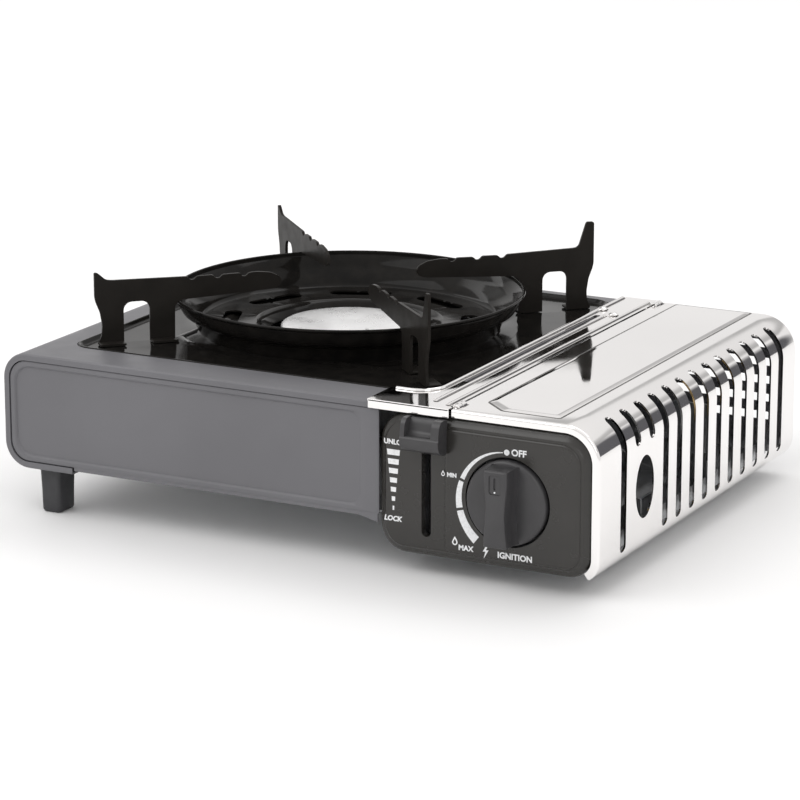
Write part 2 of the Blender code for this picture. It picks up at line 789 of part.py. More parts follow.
def control_knob():
    """A disc with a waisted grip bar across it; it turns about the gas valve's shaft."""
    disc_back = FRONT + 0.0046
    disc_face = FRONT - KNOB_DISC
    middle = (KNOB_X, (disc_face + disc_back) / 2, KNOB_HEIGHT)
    knob = cylinder("control_knob", middle, "Y", KNOB_RADIUS, disc_back - disc_face, 40)
    front = FRONT - KNOB_PROUD
    half_length = KNOB_RADIUS - 0.0004
    end_width, waist = 0.0064, 0.0050
    steps = 6
    right_side = []
    for i in range(steps + 1):
        z = -half_length + 2 * half_length * i / steps
        pinch = math.cos(math.pi * z / (2 * half_length)) ** 2
        width = end_width + (waist - end_width) * pinch
        right_side.append((KNOB_X + width, KNOB_HEIGHT + z * 0.985))
    outline = right_side + [(2 * KNOB_X - x, z) for x, z in reversed(right_side)]
    grip = front_plate("grip", [outline], front, disc_face + 0.001)
    bevel = grip.modifiers.new("round", "BEVEL")
    bevel.width = 0.0010
    bevel.segments = 2
    bevel.limit_method = "ANGLE"
    bevel.angle_limit = math.radians(40)
    apply_modifiers(grip)
    join(knob, grip)
    mark_low = (KNOB_X - 0.0008, KNOB_HEIGHT + 0.0085)
    mark_high = (KNOB_X + 0.0008, KNOB_HEIGHT + 0.0175)
    pointer = front_plate("pointer", [rounded(mark_low, mark_high, 0.0007, 2)], front - 0.001, front + 0.0006)
    bore = cylinder(
        "bore", (KNOB_X, disc_back, KNOB_HEIGHT), "Y", SHAFT_RADIUS + 0.0003, 0.014, 16
    )
    cut(knob, pointer, bore)
    return link(smooth(knob, 30), BLACK_PLASTIC)


def knob_shaft():
    shaft = cylinder(
        "knob_shaft",
        (KNOB_X, FRONT + 0.0075, KNOB_HEIGHT),
        "Y",
        SHAFT_RADIUS,
        0.0180,
        16,
    )
    cam = cylinder(
        "cam", (KNOB_X, FRONT + 0.0083, KNOB_HEIGHT), "Y", 0.0080, 0.0030, 20
    )
    nose = box(
        "nose",
        (KNOB_X - 0.0015, FRONT + 0.0068, KNOB_HEIGHT),
        (KNOB_X + 0.0015, FRONT + 0.0098, KNOB_HEIGHT + 0.0105),
    )
    join(shaft, cam, nose)
    return link(smooth(shaft), CAST_METAL)


def lock_lever():
    """The finger tab, its stem through the slot and the slider behind the panel."""
    half_width = LEVER_TAB_WIDTH / 2
    low = LEVER_TOP - LEVER_TAB_HEIGHT / 2
    tab = box(
        "lock_lever",
        (LEVER_X - half_width, FRONT - 0.0105, low),
        (LEVER_X + half_width, FRONT - RUNNING, low + LEVER_TAB_HEIGHT + 0.002),
        0.0016,
    )
    scoop = cylinder("scoop", (LEVER_X, FRONT - 0.0150, low - 0.0045), "X", 0.0115, 0.05, 28)
    cut(tab, scoop)
    stem = box(
        "stem",
        (LEVER_X - 0.0018, FRONT - 0.0020, LEVER_TOP - 0.0035),
        (LEVER_X + 0.0018, BRACKET_Y + SHEET + 0.0030, LEVER_TOP + 0.0020),
    )
    slider = box(
        "slider",
        (LEVER_X - 0.0060, BRACKET_Y + SHEET + RUNNING, LEVER_TOP - 0.0075),
        (LEVER_X + 0.0060, BRACKET_Y + SHEET + 0.0030, LEVER_TOP + 0.0040),
    )
    join(tab, stem, slider)
    return link(smooth(tab, 30), BLACK_PLASTIC)


# ---------------------------------------------------------------- gas train and ignition
def regulator():
    """The cast pressure regulator behind the bracket, with the collar that the cartridge locks on."""
    near = REGULATOR_Y
    body = cylinder("regulator_body", (KNOB_X, near + 0.0080, KNOB_HEIGHT), "Y", 0.0175, 0.0160, 32)
    outlet = box(
        "outlet",
        (PARTITION_X + 0.0240, TUBE_Y - 0.0065, TUBE_Z - 0.0060),
        (KNOB_X, TUBE_Y + 0.0065, TUBE_Z + 0.0060),
        0.0012,
        1,
    )
    neck = cylinder(
        "neck", (CARTRIDGE_X, near + 0.0205, CARTRIDGE_Z), "Y", 0.0100, 0.0150, 24
    )
    join(body, outlet, neck)
    bore = cylinder("bore", (KNOB_X, near, KNOB_HEIGHT), "Y", SHAFT_RADIUS + 0.0003, 0.0060, 16)
    cut(body, bore)
    link(smooth(body), CAST_METAL)
    collar_profile = [
        (0.0140, 0.0060),
        (0.0160, 0.0050),
        (0.0160, -0.0060),
        (0.0104, -0.0060),
        (0.0104, 0.0060),
    ]
    collar = turned("cartridge_collar", collar_profile, (CARTRIDGE_X, near + 0.0255, CARTRIDGE_Z), 32)
    collar.rotation_euler = (-math.pi / 2, 0.0, 0.0)
    link(collar, BRASS)


def burner():
    """Cast bowl, bright cap, bracket and the tube that carries the gas mixture to them."""
    tube_end_x = BURNER_X + 0.0360
    bowl_top = CAP_HEIGHT - 0.0052
    bowl_profile = [
        (0.0335, bowl_top),
        (0.0345, bowl_top - 0.0030),
        (0.0260, TUBE_Z + 0.0095),
        (0.0260, TUBE_Z - 0.0100),
        (0.0120, TUBE_Z - 0.0100),
        (0.0120, TUBE_Z - 0.0080),
        (0.0230, TUBE_Z - 0.0070),
        (0.0230, TUBE_Z + 0.0110),
        (0.0300, bowl_top - 0.0030),
        (0.0300, bowl_top),
    ]
    bowl = turned("burner_body", bowl_profile, (BURNER_X, BURNER_Y, 0.0), 36)
    apply_modifiers(bowl)
    socket = cylinder(
        "socket", (BURNER_X + 0.0310, BURNER_Y, TUBE_Z), "X", 0.0082, 0.0150, 20
    )
    bore = cylinder("bore", (BURNER_X + 0.0320, BURNER_Y, TUBE_Z), "X", TUBE_RADIUS + GAP, 0.0260, 20)
    join(bowl, socket)
    cut(bowl, bore)
    link(smooth(bowl), CAST_METAL)

    cap_profile = [
        (0.0, CAP_HEIGHT + 0.0012),
        (0.0150, CAP_HEIGHT + 0.0009),
        (0.0290, CAP_HEIGHT),
        (CAP_RADIUS - 0.0008, CAP_HEIGHT - 0.0010),
        (CAP_RADIUS, CAP_HEIGHT - 0.0022),
        (CAP_RADIUS - 0.0010, bowl_top + GAP),
        (0.0285, bowl_top + GAP),
        (0.0285, bowl_top - 0.0025),
        (0.0270, bowl_top - 0.0025),
        (0.0270, bowl_top + GAP),
        (0.0, bowl_top + GAP),
    ]
    cap = turned("burner_cap", cap_profile, (BURNER_X, BURNER_Y, 0.0), 48)
    link(cap, BRIGHT_METAL)

    stops = [
        (PARTITION_X + 0.0195, TUBE_Y, TUBE_Z),
        (PARTITION_X - 0.006, TUBE_Y, TUBE_Z),
        (PARTITION_X - 0.020, TUBE_Y + 0.006, TUBE_Z),
        (BURNER_X + 0.072, BURNER_Y - 0.010, TUBE_Z),
        (BURNER_X + 0.060, BURNER_Y, TUBE_Z),
        (tube_end_x, BURNER_Y, TUBE_Z),
        (BURNER_X + 0.0300, BURNER_Y, TUBE_Z),
    ]
    mixing = tube("mixing_tube", smooth_path(stops, 5), TUBE_RADIUS, 2)
    link(smooth(mixing), GALVANISED)
    jet = cylinder("gas_jet", (PARTITION_X + 0.0217, TUBE_Y, TUBE_Z), "X", 0.0045, 0.0036, 6)
    link(jet, BRASS)

    bracket_top = TUBE_Z - 0.0100 - GAP
    bracket_low = INNER_FLOOR + SHEET + GAP
    reach, toe = 0.040, 0.010

    def half(side):
        inner = BURNER_X + side * (reach - SHEET)
        outer = BURNER_X + side * reach
        end = BURNER_X + side * (reach + toe)
        return [
            (inner, bracket_top - SHEET),
            (inner, bracket_low),
            (end, bracket_low),
            (end, bracket_low + SHEET),
            (outer, bracket_low + SHEET),
            (outer, bracket_top),
        ]

    hat = half(-1) + half(1)[::-1]
    bracket = front_plate("burner_bracket", [hat], BURNER_Y - 0.012, BURNER_Y + 0.012)
    link(bracket, GALVANISED)


def ignition():
    """Piezo unit beside the valve, its wire, and the electrode next to the burner cap."""
    piezo_y = REGULATOR_Y
    piezo_length = 0.0220
    wire_end = piezo_y + piezo_length + GAP
    piezo = box(
        "piezo_igniter",
        (KNOB_X + 0.0190, piezo_y, KNOB_HEIGHT - 0.0190),
        (KNOB_X + 0.0290, piezo_y + piezo_length, KNOB_HEIGHT - 0.0090),
        0.0010,
        1,
    )
    link(piezo, MATT_BLACK)

    electrode_x = BURNER_X + 0.029
    electrode_y = BURNER_Y - 0.029
    insulator = cylinder(
        "electrode_insulator", (electrode_x, electrode_y, 0.0700), "Z", 0.0030, 0.0220, 16
    )
    link(smooth(insulator), CERAMIC)
    tip = [
        (electrode_x, electrode_y, 0.0810 + GAP),
        (electrode_x, electrode_y, CAP_HEIGHT + 0.001),
        (electrode_x - 0.0035, electrode_y + 0.0035, CAP_HEIGHT + 0.0035),
        (electrode_x - 0.0065, electrode_y + 0.0065, CAP_HEIGHT + 0.0035),
    ]
    electrode = tube("ignition_electrode", tip, 0.0008, 1)
    link(smooth(electrode), BRIGHT_METAL)
    holder = box(
        "electrode_holder",
        (electrode_x - 0.0060, electrode_y - 0.0060, 0.0640),
        (electrode_x + 0.0060, electrode_y + 0.0180, 0.0650),
    )
    cut(
        holder,
        cylinder("hole", (electrode_x, electrode_y, 0.0645), "Z", 0.0030 + 0.0003, 0.01, 16),
        cylinder("bowl", (BURNER_X, BURNER_Y, 0.0645), "Z", 0.0280, 0.01, 36),
    )
    link(holder, GALVANISED)
    wire_stops = [
        (KNOB_X + 0.0240, wire_end, KNOB_HEIGHT - 0.0140),
        (KNOB_X + 0.0240, wire_end + 0.0030, KNOB_HEIGHT - 0.0140),
        (KNOB_X + 0.0180, wire_end + 0.0060, BAY_FLOOR + 0.0050),
        (KNOB_X - 0.0100, wire_end + 0.0070, BAY_FLOOR + 0.0036),
        (PARTITION_X + 0.0180, WIRE_Y - 0.0140, BAY_FLOOR + 0.0060),
        (PARTITION_X + 0.0060, WIRE_Y, WIRE_HOLE_Z),
        (PARTITION_X - 0.0060, WIRE_Y, WIRE_HOLE_Z),
        (BURNER_X + 0.0850, WIRE_Y, INNER_FLOOR + 0.0060),
        (BURNER_X + 0.0650, electrode_y - 0.010, INNER_FLOOR + 0.0040),
        (electrode_x + 0.0060, electrode_y - 0.004, INNER_FLOOR + 0.0100),
        (electrode_x, electrode_y, 0.0500),
        (electrode_x, electrode_y, 0.0590 - GAP),
    ]
    wire = tube("electrode_wire", smooth_path(wire_stops, 4), WIRE_RADIUS, 1)
    link(smooth(wire), MATT_BLACK)


# ---------------------------------------------------------------- cartridge bay
def cradle_rail(name, y):
    """A cross rail with a hollow that the cartridge lies in."""
    low = BAY_FLOOR + GAP
    half = 0.0300
    outline = [
        (CARTRIDGE_X - half, low),
        (CARTRIDGE_X + half, low),
        (CARTRIDGE_X + half, CARTRIDGE_Z - 0.0230),
    ]
    seat = CARTRIDGE_RADIUS + 0.0006
    reach = math.degrees(math.acos((half - 0.004) / seat))
    outline += arc((CARTRIDGE_X, CARTRIDGE_Z), seat, -reach, reach - 180, 10)
    outline += [(CARTRIDGE_X - half, CARTRIDGE_Z - 0.0230)]
    rail = front_plate(name, [outline], y, y + 0.0015)
    slot = box(
        "slot",
        (CARTRIDGE_X - 0.0110, y - 0.002, low - 0.002),
        (CARTRIDGE_X + 0.0110, y + 0.004, low + 0.0023),
    )
    cut(rail, slot)
    return link(rail, GALVANISED)


def pusher():
    """The slide under the cartridge: its hook behind the cartridge moves forward as the lever goes down."""
    low = BAY_FLOOR + GAP
    near = FRONT + 0.051 + PUSHER_TRAVEL
    far = BACK - 0.0320
    slide = box(
        "cartridge_pusher",
        (CARTRIDGE_X - 0.0100, near, low + RUNNING - GAP),
        (CARTRIDGE_X + 0.0100, far, low + 0.0014),
    )
    hook = box(
        "hook",
        (CARTRIDGE_X - 0.0100, far - 0.0015, low + RUNNING - GAP),
        (CARTRIDGE_X + 0.0100, far, CARTRIDGE_Z - 0.0080),
    )
    join(slide, hook)
    return link(slide, GALVANISED)


def heat_conductor():
    """The strip that brings a little of the burner's warmth under the cartridge."""
    z = BAY_FLOOR + 0.0150
    strip = box(
        "heat_conductor",
        (PARTITION_X + SHEET + GAP, BURNER_Y - 0.020, z),
        (PARTITION_X + SHEET + GAP + SHEET, BURNER_Y + 0.030, z + 0.030),
    )
    shelf = box(
        "shelf",
        (PARTITION_X + SHEET + GAP, BURNER_Y - 0.020, z),
        (PARTITION_X + 0.0120, BURNER_Y + 0.030, z + SHEET),
    )
    join(strip, shelf)
    return link(strip, CAST_METAL)


# ---------------------------------------------------------------- tray, ring and pan supports
def drip_tray():
    """The enamelled square tray: a floor, a rolled rim and a round collar under the wind ring."""
    low = (BURNER_X - TRAY_WIDTH / 2 + RUNNING, BURNER_Y - TRAY_DEPTH / 2 + RUNNING)
    high = (BURNER_X + TRAY_WIDTH / 2 - RUNNING, BURNER_Y + TRAY_DEPTH / 2 - RUNNING)
    corner = TRAY_CORNER - RUNNING
    wall = 0.0010

    def grown(by):
        return rounded((low[0] - by, low[1] - by), (high[0] + by, high[1] + by), corner + by)

    hole_radius = RING_BASE_RADIUS - 0.010
    hole = arc((BURNER_X, BURNER_Y), hole_radius, 0, 352.5, 47)
    floor = level_plate("drip_tray", [grown(0.0), hole], TRAY_FLOOR - SHEET, TRAY_FLOOR)
    rim = level_plate("rim", [grown(0.0), grown(-wall)], TRAY_FLOOR - SHEET / 2, DECK_HEIGHT + 0.0004)
    join(floor, rim)
    set_origin(floor, (BURNER_X, BURNER_Y, TRAY_FLOOR))
    return link(smooth(floor), ENAMEL)


def wind_ring():
    """The black bowl: rolled rim, stepped and tapered wall, inner ledge with slots, central opening."""
    wall = SHEET
    base = TRAY_FLOOR + GAP
    step_z = RING_TOP - 0.0105
    profile = [
        (RING_RADIUS, RING_TOP - 0.0006),
        (RING_RADIUS + 0.0004, RING_TOP - 0.0014),
        (RING_RADIUS - 0.0008, RING_TOP - 0.0022),
        (RING_RADIUS - 0.0060, step_z),
        (RING_RADIUS - 0.0085, step_z - 0.0010),
        (RING_BASE_RADIUS, base),
        (RING_BASE_RADIUS - 0.0050, base),
        (RING_BASE_RADIUS - 0.0050, base + wall),
        (RING_BASE_RADIUS - wall * 1.1, base + wall),
        (RING_BASE_RADIUS + 0.0018, RING_LEDGE - wall),
        (0.0480, RING_LEDGE - wall),
        (0.0440, RING_LEDGE - 0.0040),
        (0.0430, RING_LEDGE - 0.0035),
        (0.0475, RING_LEDGE),
        (RING_BASE_RADIUS + 0.0025, RING_LEDGE),
        (RING_RADIUS - 0.0095, step_z + 0.0002),
        (RING_RADIUS - 0.0070, step_z + 0.0012),
        (RING_RADIUS - 0.0014, RING_TOP - 0.0014),
        (RING_RADIUS - 0.0008, RING_TOP - 0.0004),
    ]
    ring = turned("wind_ring", profile, (BURNER_X, BURNER_Y, 0.0), 56)
    apply_modifiers(ring)
    half_width, half_length = RING_SLOT_WIDTH / 2, RING_SLOT_LENGTH / 2
    outline = rounded((-half_width, -half_length), (half_width, half_length), half_width * 0.97, 4)
    for i in range(RING_SLOTS):
        turn = math.radians(360 / RING_SLOTS * i)
        place = (
            Matrix.Translation((BURNER_X, BURNER_Y, RING_LEDGE))
            @ Matrix.Rotation(turn, 4, "Z")
            @ Matrix.Translation((0.0620, 0.0, 0.0))
        )
        cut(ring, plate("slot", [outline], 0.006, place))
    return link(smooth(ring), ENAMEL)


def support_outline(horn):
    """The support's side view: x runs inwards from the outer edge, y up from the tray."""
    base = 0.0
    top = SUPPORT_TOP - TRAY_FLOOR - SHEET
    rise = 0.0010  # the plain stretch climbs this much to the horn
    horn_top = top + rise + horn
    bend = 0.0245
    ring_gap = RING_TOP - TRAY_FLOOR - SHEET + 0.0010
    leg_inner = SUPPORT_REACH - RING_RADIUS - 0.0016
    tooth = 0.0017
    outer_edge = [(0.0003, base), (0.0034, 0.0085), (0.0030, 0.0135), (0.0, bend), (0.0, horn_top)]
    horn_side = [(0.0040, horn_top + 0.0004), (0.0095, top + rise + 0.0008), (0.0108, top + rise)]
    plain = [(0.0480, top)]
    teeth = []
    tooth_starts = [0.0510, 0.0655, 0.0800]
    for start in tooth_starts:
        teeth += [
            (start, top - tooth),
            (start + 0.0050, top - tooth),
            (start + 0.0065, top),
            (start + 0.0125, top),
        ]
    inner = [(SUPPORT_LENGTH - 0.0045, top - 0.0005), (SUPPORT_LENGTH, top - 0.0050)]
    under = [(SUPPORT_LENGTH - 0.0030, top - 0.0105), (leg_inner + 0.0100, ring_gap), (leg_inner, ring_gap)]
    leg = [(leg_inner, base)]
    return outer_edge + horn_side + plain + teeth + inner + under + leg


def pan_support(name, degrees, horn):
    window_top = 0.0219
    window = (
        [(0.0154, -0.0010)]
        + [(0.0295, -0.0010)]
        + arc((0.0295 - 0.0045, window_top - 0.0045), 0.0045, 0, 90, 4)
        + arc((0.0154 + 0.0045, window_top - 0.0045), 0.0045, 90, 180, 4)
    )
    place = (
        Matrix.Translation((BURNER_X, BURNER_Y, TRAY_FLOOR + GAP))
        @ Matrix.Rotation(math.radians(degrees), 4, "Z")
        @ Matrix.Translation((SUPPORT_REACH, 0.0, 0.0))
        @ Matrix.Rotation(math.pi, 4, "Z")
        @ UPRIGHT
    )
    support = plate(name, [support_outline(horn)], SUPPORT_THICKNESS, place)
    cut(support, plate("window", [window], SUPPORT_THICKNESS * 4, place))
    tab_width, tab_height = 0.0070, 0.0011
    for start, end in ((0.0012, 0.0148), (0.0303, SUPPORT_REACH - RING_RADIUS - 0.0020)):
        outline = rounded((start, 0.0), (end, tab_height), 0.0003, 1)
        join(support, plate("tab", [outline], tab_width, place @ Matrix.Translation((0, 0, tab_width / 2))))
    return link(support, ENAMEL)


# ---------------------------------------------------------------- feet and screws
def feet():
    """Two tall blocks under the burner side and two short round feet under the cartridge bay."""
    short_height = BAY_BOTTOM - GAP
    for place, side in (("front", 1), ("rear", -1)):
        face = FRONT if side > 0 else BACK
        near = face + side * FOOT_FROM_FACE
        far = near + side * FOOT_DEPTH
        tall = box(
            "foot_" + place + "_left",
            (LEFT + FOOT_FROM_LEFT, min(near, far), 0.0),
            (LEFT + FOOT_FROM_LEFT + FOOT_WIDTH, max(near, far), BODY_BOTTOM - GAP),
            0.0015,
        )
        link(smooth(tall, 30), MATT_BLACK)
        middle = (RIGHT - SHORT_FOOT_FROM_RIGHT, face + side * SHORT_FOOT_FROM_FACE, short_height / 2)
        name = "foot_" + place + "_right"
        short = cylinder(name, middle, "Z", SHORT_FOOT_RADIUS, short_height, 24, SHORT_FOOT_RADIUS * 0.88)
        link(smooth(short), MATT_BLACK)


def plate_screws():
    for index, (x, y) in enumerate(PLATE_SCREWS):
        top = DECK_HEIGHT + GAP + SHEET + GAP
        profile = [
            (0.0, top + 0.0014),
            (0.0018, top + 0.0011),
            (0.0028, top + 0.0003),
            (0.0028, top),
            (0.0015, top),
            (0.0015, DECK_HEIGHT + GAP),
            (0.0, DECK_HEIGHT + GAP),
        ]
        screw = turned("plate_screw_%d" % (index + 1), profile, (x, y, 0.0), 16)
        link(screw, CHROME)


def build():
    body_shell()
    front_panel()
    rear_panel()
    base_pan()
    partition()
    valve_bracket()
    top_plate()
    hinge_pins()
    cartridge_lid()
    control_panel()
    control_knob()
    knob_shaft()
    lock_lever()
    regulator()
    burner()
    ignition()
    cradle_rail("cradle_rail_front", FRONT + 0.088)
    cradle_rail("cradle_rail_rear", FRONT + 0.180)
    pusher()
    heat_conductor()
    drip_tray()
    wind_ring()
    for name, degrees, horn in (
        ("pan_support_rear_right", 45, TALL_HORN),
        ("pan_support_rear_left", 135, SMALL_HORN),
        ("pan_support_front_left", 225, SMALL_HORN),
        ("pan_support_front_right", 315, TALL_HORN),
    ):
        pan_support(name, degrees, horn)
    feet()
    plate_screws()


build()
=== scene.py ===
"""Looks of the camping stove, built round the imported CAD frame.

Metres, +X to the cartridge bay, -Y to the front.
"""

import json
import math

import bmesh
import bpy
from mathutils import Matrix, Vector


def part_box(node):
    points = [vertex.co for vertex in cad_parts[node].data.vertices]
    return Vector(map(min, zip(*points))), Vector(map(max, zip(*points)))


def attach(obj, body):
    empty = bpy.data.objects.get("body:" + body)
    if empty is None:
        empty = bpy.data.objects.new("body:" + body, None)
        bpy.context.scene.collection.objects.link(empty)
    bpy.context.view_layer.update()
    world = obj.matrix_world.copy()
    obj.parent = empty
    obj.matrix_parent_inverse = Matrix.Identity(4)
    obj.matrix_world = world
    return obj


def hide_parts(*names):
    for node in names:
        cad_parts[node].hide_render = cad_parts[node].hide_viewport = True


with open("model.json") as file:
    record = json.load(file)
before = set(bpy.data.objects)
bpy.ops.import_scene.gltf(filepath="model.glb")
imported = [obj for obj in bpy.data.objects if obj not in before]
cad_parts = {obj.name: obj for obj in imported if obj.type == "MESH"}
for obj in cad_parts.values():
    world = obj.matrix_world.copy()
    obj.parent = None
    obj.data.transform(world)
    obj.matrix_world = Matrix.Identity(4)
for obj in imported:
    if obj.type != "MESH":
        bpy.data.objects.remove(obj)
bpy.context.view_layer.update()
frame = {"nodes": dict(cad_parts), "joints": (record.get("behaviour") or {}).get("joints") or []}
NODES = frame["nodes"]
JOINTS = {joint["name"]: joint for joint in frame["joints"]}

MM = 0.001

# ---------------------------------------------------------------- places read from the frame
SHELL_LOW, SHELL_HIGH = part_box("body_shell")
LID_LOW, LID_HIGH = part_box("cartridge_lid")
PANEL_LOW, PANEL_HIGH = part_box("control_panel")
PLATE_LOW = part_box("top_plate")[0]
RING_LOW, RING_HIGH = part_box("wind_ring")
CAP_LOW, CAP_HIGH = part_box("burner_cap")
TRAY_LOW, TRAY_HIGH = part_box("drip_tray")
LEVER_LOW, LEVER_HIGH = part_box("lock_lever")

LEFT, FRONT, BOTTOM = SHELL_LOW
DECK_RIGHT, BACK, DECK = SHELL_HIGH
RIGHT = LID_HIGH.x
HINGE_X, _, HINGE_Z = JOINTS["lid_hinge"]["pos_m"]
LID_TOP = HINGE_Z + 0.5 * MM
LID_BOTTOM = LID_LOW.z
LID_LEFT = HINGE_X - 0.7 * MM
BURNER = (RING_LOW + RING_HIGH) / 2
KNOB_X, _, KNOB_Z = JOINTS["knob_turn"]["pos_m"]
LEVER_X = (LEVER_LOW.x + LEVER_HIGH.x) / 2
TRAY_FLOOR = TRAY_LOW.z + 1.0 * MM
SHEET = 1.0 * MM
LID_BOTTOM_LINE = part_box("control_panel")[0].z - 1.7 * MM
LEVER_TOP_GAP = DECK - 3.4 * MM


# ---------------------------------------------------------------- materials
def principled(name, colour, roughness, metallic=0.0, **sockets):
    made = bpy.data.materials.new(name)
    made.use_nodes = True
    shader = made.node_tree.nodes["Principled BSDF"]
    shader.inputs["Base Color"].default_value = (*colour, 1.0)
    shader.inputs["Roughness"].default_value = roughness
    shader.inputs["Metallic"].default_value = metallic
    for socket, value in sockets.items():
        shader.inputs[socket.replace("_", " ")].default_value = value
    return made


def noise(made, scale, detail=3.0, stretch=(1.0, 1.0, 1.0), kind="ShaderNodeTexNoise"):
    """A texture in the object's own space: scale is cells per metre along each axis."""
    nodes, links = made.node_tree.nodes, made.node_tree.links
    place = nodes.new("ShaderNodeTexCoord")
    mapping = nodes.new("ShaderNodeMapping")
    mapping.inputs["Scale"].default_value = [scale * s for s in stretch]
    texture = nodes.new(kind)
    if "Detail" in texture.inputs:
        texture.inputs["Detail"].default_value = detail
    texture.inputs["Scale"].default_value = 1.0
    links.new(place.outputs["Object"], mapping.inputs["Vector"])
    links.new(mapping.outputs["Vector"], texture.inputs["Vector"])
    return texture.outputs[0]


def ramp(made, source, stops):
    node = made.node_tree.nodes.new("ShaderNodeValToRGB")
    while len(node.color_ramp.elements) < len(stops):
        node.color_ramp.elements.new(0.5)
    for element, (place, value) in zip(node.color_ramp.elements, stops):
        element.position = place
        element.color = (*value, 1.0) if isinstance(value, tuple) else (value, value, value, 1.0)
    made.node_tree.links.new(source, node.inputs["Fac"])
    return node.outputs["Color"]


def vary(made, socket, source, stops):
    """Drives one of the shader's sockets through a ramp."""
    shader = made.node_tree.nodes["Principled BSDF"]
    made.node_tree.links.new(ramp(made, source, stops), shader.inputs[socket])


def bump(made, source, depth, strength=1.0):
    """Adds relief, on top of any already there."""
    shader = made.node_tree.nodes["Principled BSDF"]
    links = made.node_tree.links
    node = made.node_tree.nodes.new("ShaderNodeBump")
    node.inputs["Strength"].default_value = strength
    node.inputs["Distance"].default_value = depth
    links.new(source, node.inputs["Height"])
    if shader.inputs["Normal"].links:
        links.new(shader.inputs["Normal"].links[0].from_socket, node.inputs["Normal"])
    links.new(node.outputs["Normal"], shader.inputs["Normal"])


def scaled(colour, factor):
    return tuple(min(1.0, c * factor) for c in colour)


def coated(name, base, tint, gloss=None, reliefs=(), **sockets):
    """A material of uneven colour, gloss and relief.

    base is (colour, roughness[, metallic]); tint and gloss are (noise scale, detail, ramp stops);
    a relief is (noise scale, detail, depth in mm, strength[, stretch]).
    """
    made = principled(name, *base, **sockets)
    vary(made, "Base Color", noise(made, *tint[:2]), tint[2])
    if gloss:
        vary(made, "Roughness", noise(made, *gloss[:2]), gloss[2])
    for scale, detail, depth, strength, *stretch in reliefs:
        bump(made, noise(made, scale, detail, *stretch), depth * MM, strength)
    return made


def galvanised():
    made = principled("galvanised_steel", (0.36, 0.37, 0.38), 0.42, 1.0)
    spangle = noise(made, 130, kind="ShaderNodeTexVoronoi")
    vary(made, "Base Color", spangle, [(0.1, (0.28, 0.29, 0.305)), (0.8, (0.42, 0.43, 0.44))])
    vary(made, "Roughness", noise(made, 220, 4), [(0.3, 0.34), (0.75, 0.54)])
    bump(made, spangle, 0.02 * MM, 0.25)
    return made


def bright_cap():
    """Spun aluminium: fine circles round the burner's centre."""
    made = principled("spun_aluminium", (0.95, 0.95, 0.95), 0.28, 0.7)
    nodes, links = made.node_tree.nodes, made.node_tree.links
    place = nodes.new("ShaderNodeTexCoord")
    shift = nodes.new("ShaderNodeMapping")
    shift.inputs["Location"].default_value = (-BURNER.x, -BURNER.y, 0.0)
    wave = nodes.new("ShaderNodeTexWave")
    wave.wave_type = "RINGS"
    wave.rings_direction = "Z"
    wave.inputs["Scale"].default_value = 150
    wave.inputs["Distortion"].default_value = 0.2
    links.new(place.outputs["Object"], shift.inputs["Vector"])
    links.new(shift.outputs["Vector"], wave.inputs["Vector"])
    vary(made, "Roughness", noise(made, 120, 5), [(0.3, 0.24), (0.75, 0.38)])
    vary(made, "Base Color", noise(made, 45, 4), [(0.3, (0.90, 0.90, 0.90)), (0.7, (0.97, 0.97, 0.97))])
    bump(made, wave.outputs[1], 0.004 * MM, 0.05)
    return made


GREY_TONE = (0.134, 0.133, 0.143)
GREY = coated(
    "grey_paint", (GREY_TONE, 0.42),
    (14, 4, [(0.3, scaled(GREY_TONE, 0.94)), (0.7, scaled(GREY_TONE, 1.06))]),
    (60, 5, [(0.3, 0.38), (0.7, 0.48)]), [(1400, 2, 0.03, 0.35)])
ENAMEL = coated(
    "black_enamel", ((0.004, 0.004, 0.0045), 0.10),
    (120, 6, [(0.35, (0.008, 0.0075, 0.007)), (0.75, (0.015, 0.0135, 0.012))]),
    (90, 5, [(0.3, 0.05), (0.75, 0.16)]), [(55, 2, 0.25, 0.18), (900, 3, 0.02, 0.25)],
    Specular_IOR_Level=0.11)
SUPPORT = coated(
    "support_enamel", ((0.018, 0.0165, 0.015), 0.34),
    (70, 5, [(0.3, (0.0155, 0.014, 0.0125)), (0.75, (0.021, 0.019, 0.017))]),
    (110, 5, [(0.3, 0.28), (0.75, 0.40)]), [(900, 2, 0.006, 0.1)], Specular_IOR_Level=0.05)
CHROME = coated(
    "chrome", ((0.90, 0.885, 0.875), 0.07, 1.0),
    (9, 3, [(0.3, (0.87, 0.855, 0.845)), (0.7, (0.93, 0.915, 0.905))]),
    (35, 6, [(0.35, 0.035), (0.8, 0.13)]), [(16, 2, 0.35, 0.06), (900, 3, 0.01, 0.12, (0.05, 1.0, 1.0))])
GLOSS = coated(
    "black_gloss_plastic", ((0.016, 0.0155, 0.015), 0.24),
    (40, 4, [(0.3, (0.023, 0.0215, 0.019)), (0.7, (0.029, 0.027, 0.0245))]),
    (120, 5, [(0.3, 0.22), (0.75, 0.30)]), [(1800, 2, 0.006, 0.2)], Specular_IOR_Level=0.5)
SATIN = coated(
    "charcoal_plastic", ((0.030, 0.029, 0.032), 0.34),
    (60, 4, [(0.3, (0.036, 0.035, 0.037)), (0.7, (0.046, 0.045, 0.047))]),
    (160, 5, [(0.3, 0.30), (0.75, 0.42)]), [(2400, 2, 0.014, 0.4)])
MATT = coated(
    "matt_black_plastic", ((0.030, 0.030, 0.033), 0.55),
    (80, 4, [(0.3, (0.026, 0.026, 0.029)), (0.7, (0.037, 0.037, 0.040))]),
    (200, 4, [(0.3, 0.46), (0.75, 0.64)]), [(1500, 3, 0.03, 0.5)])
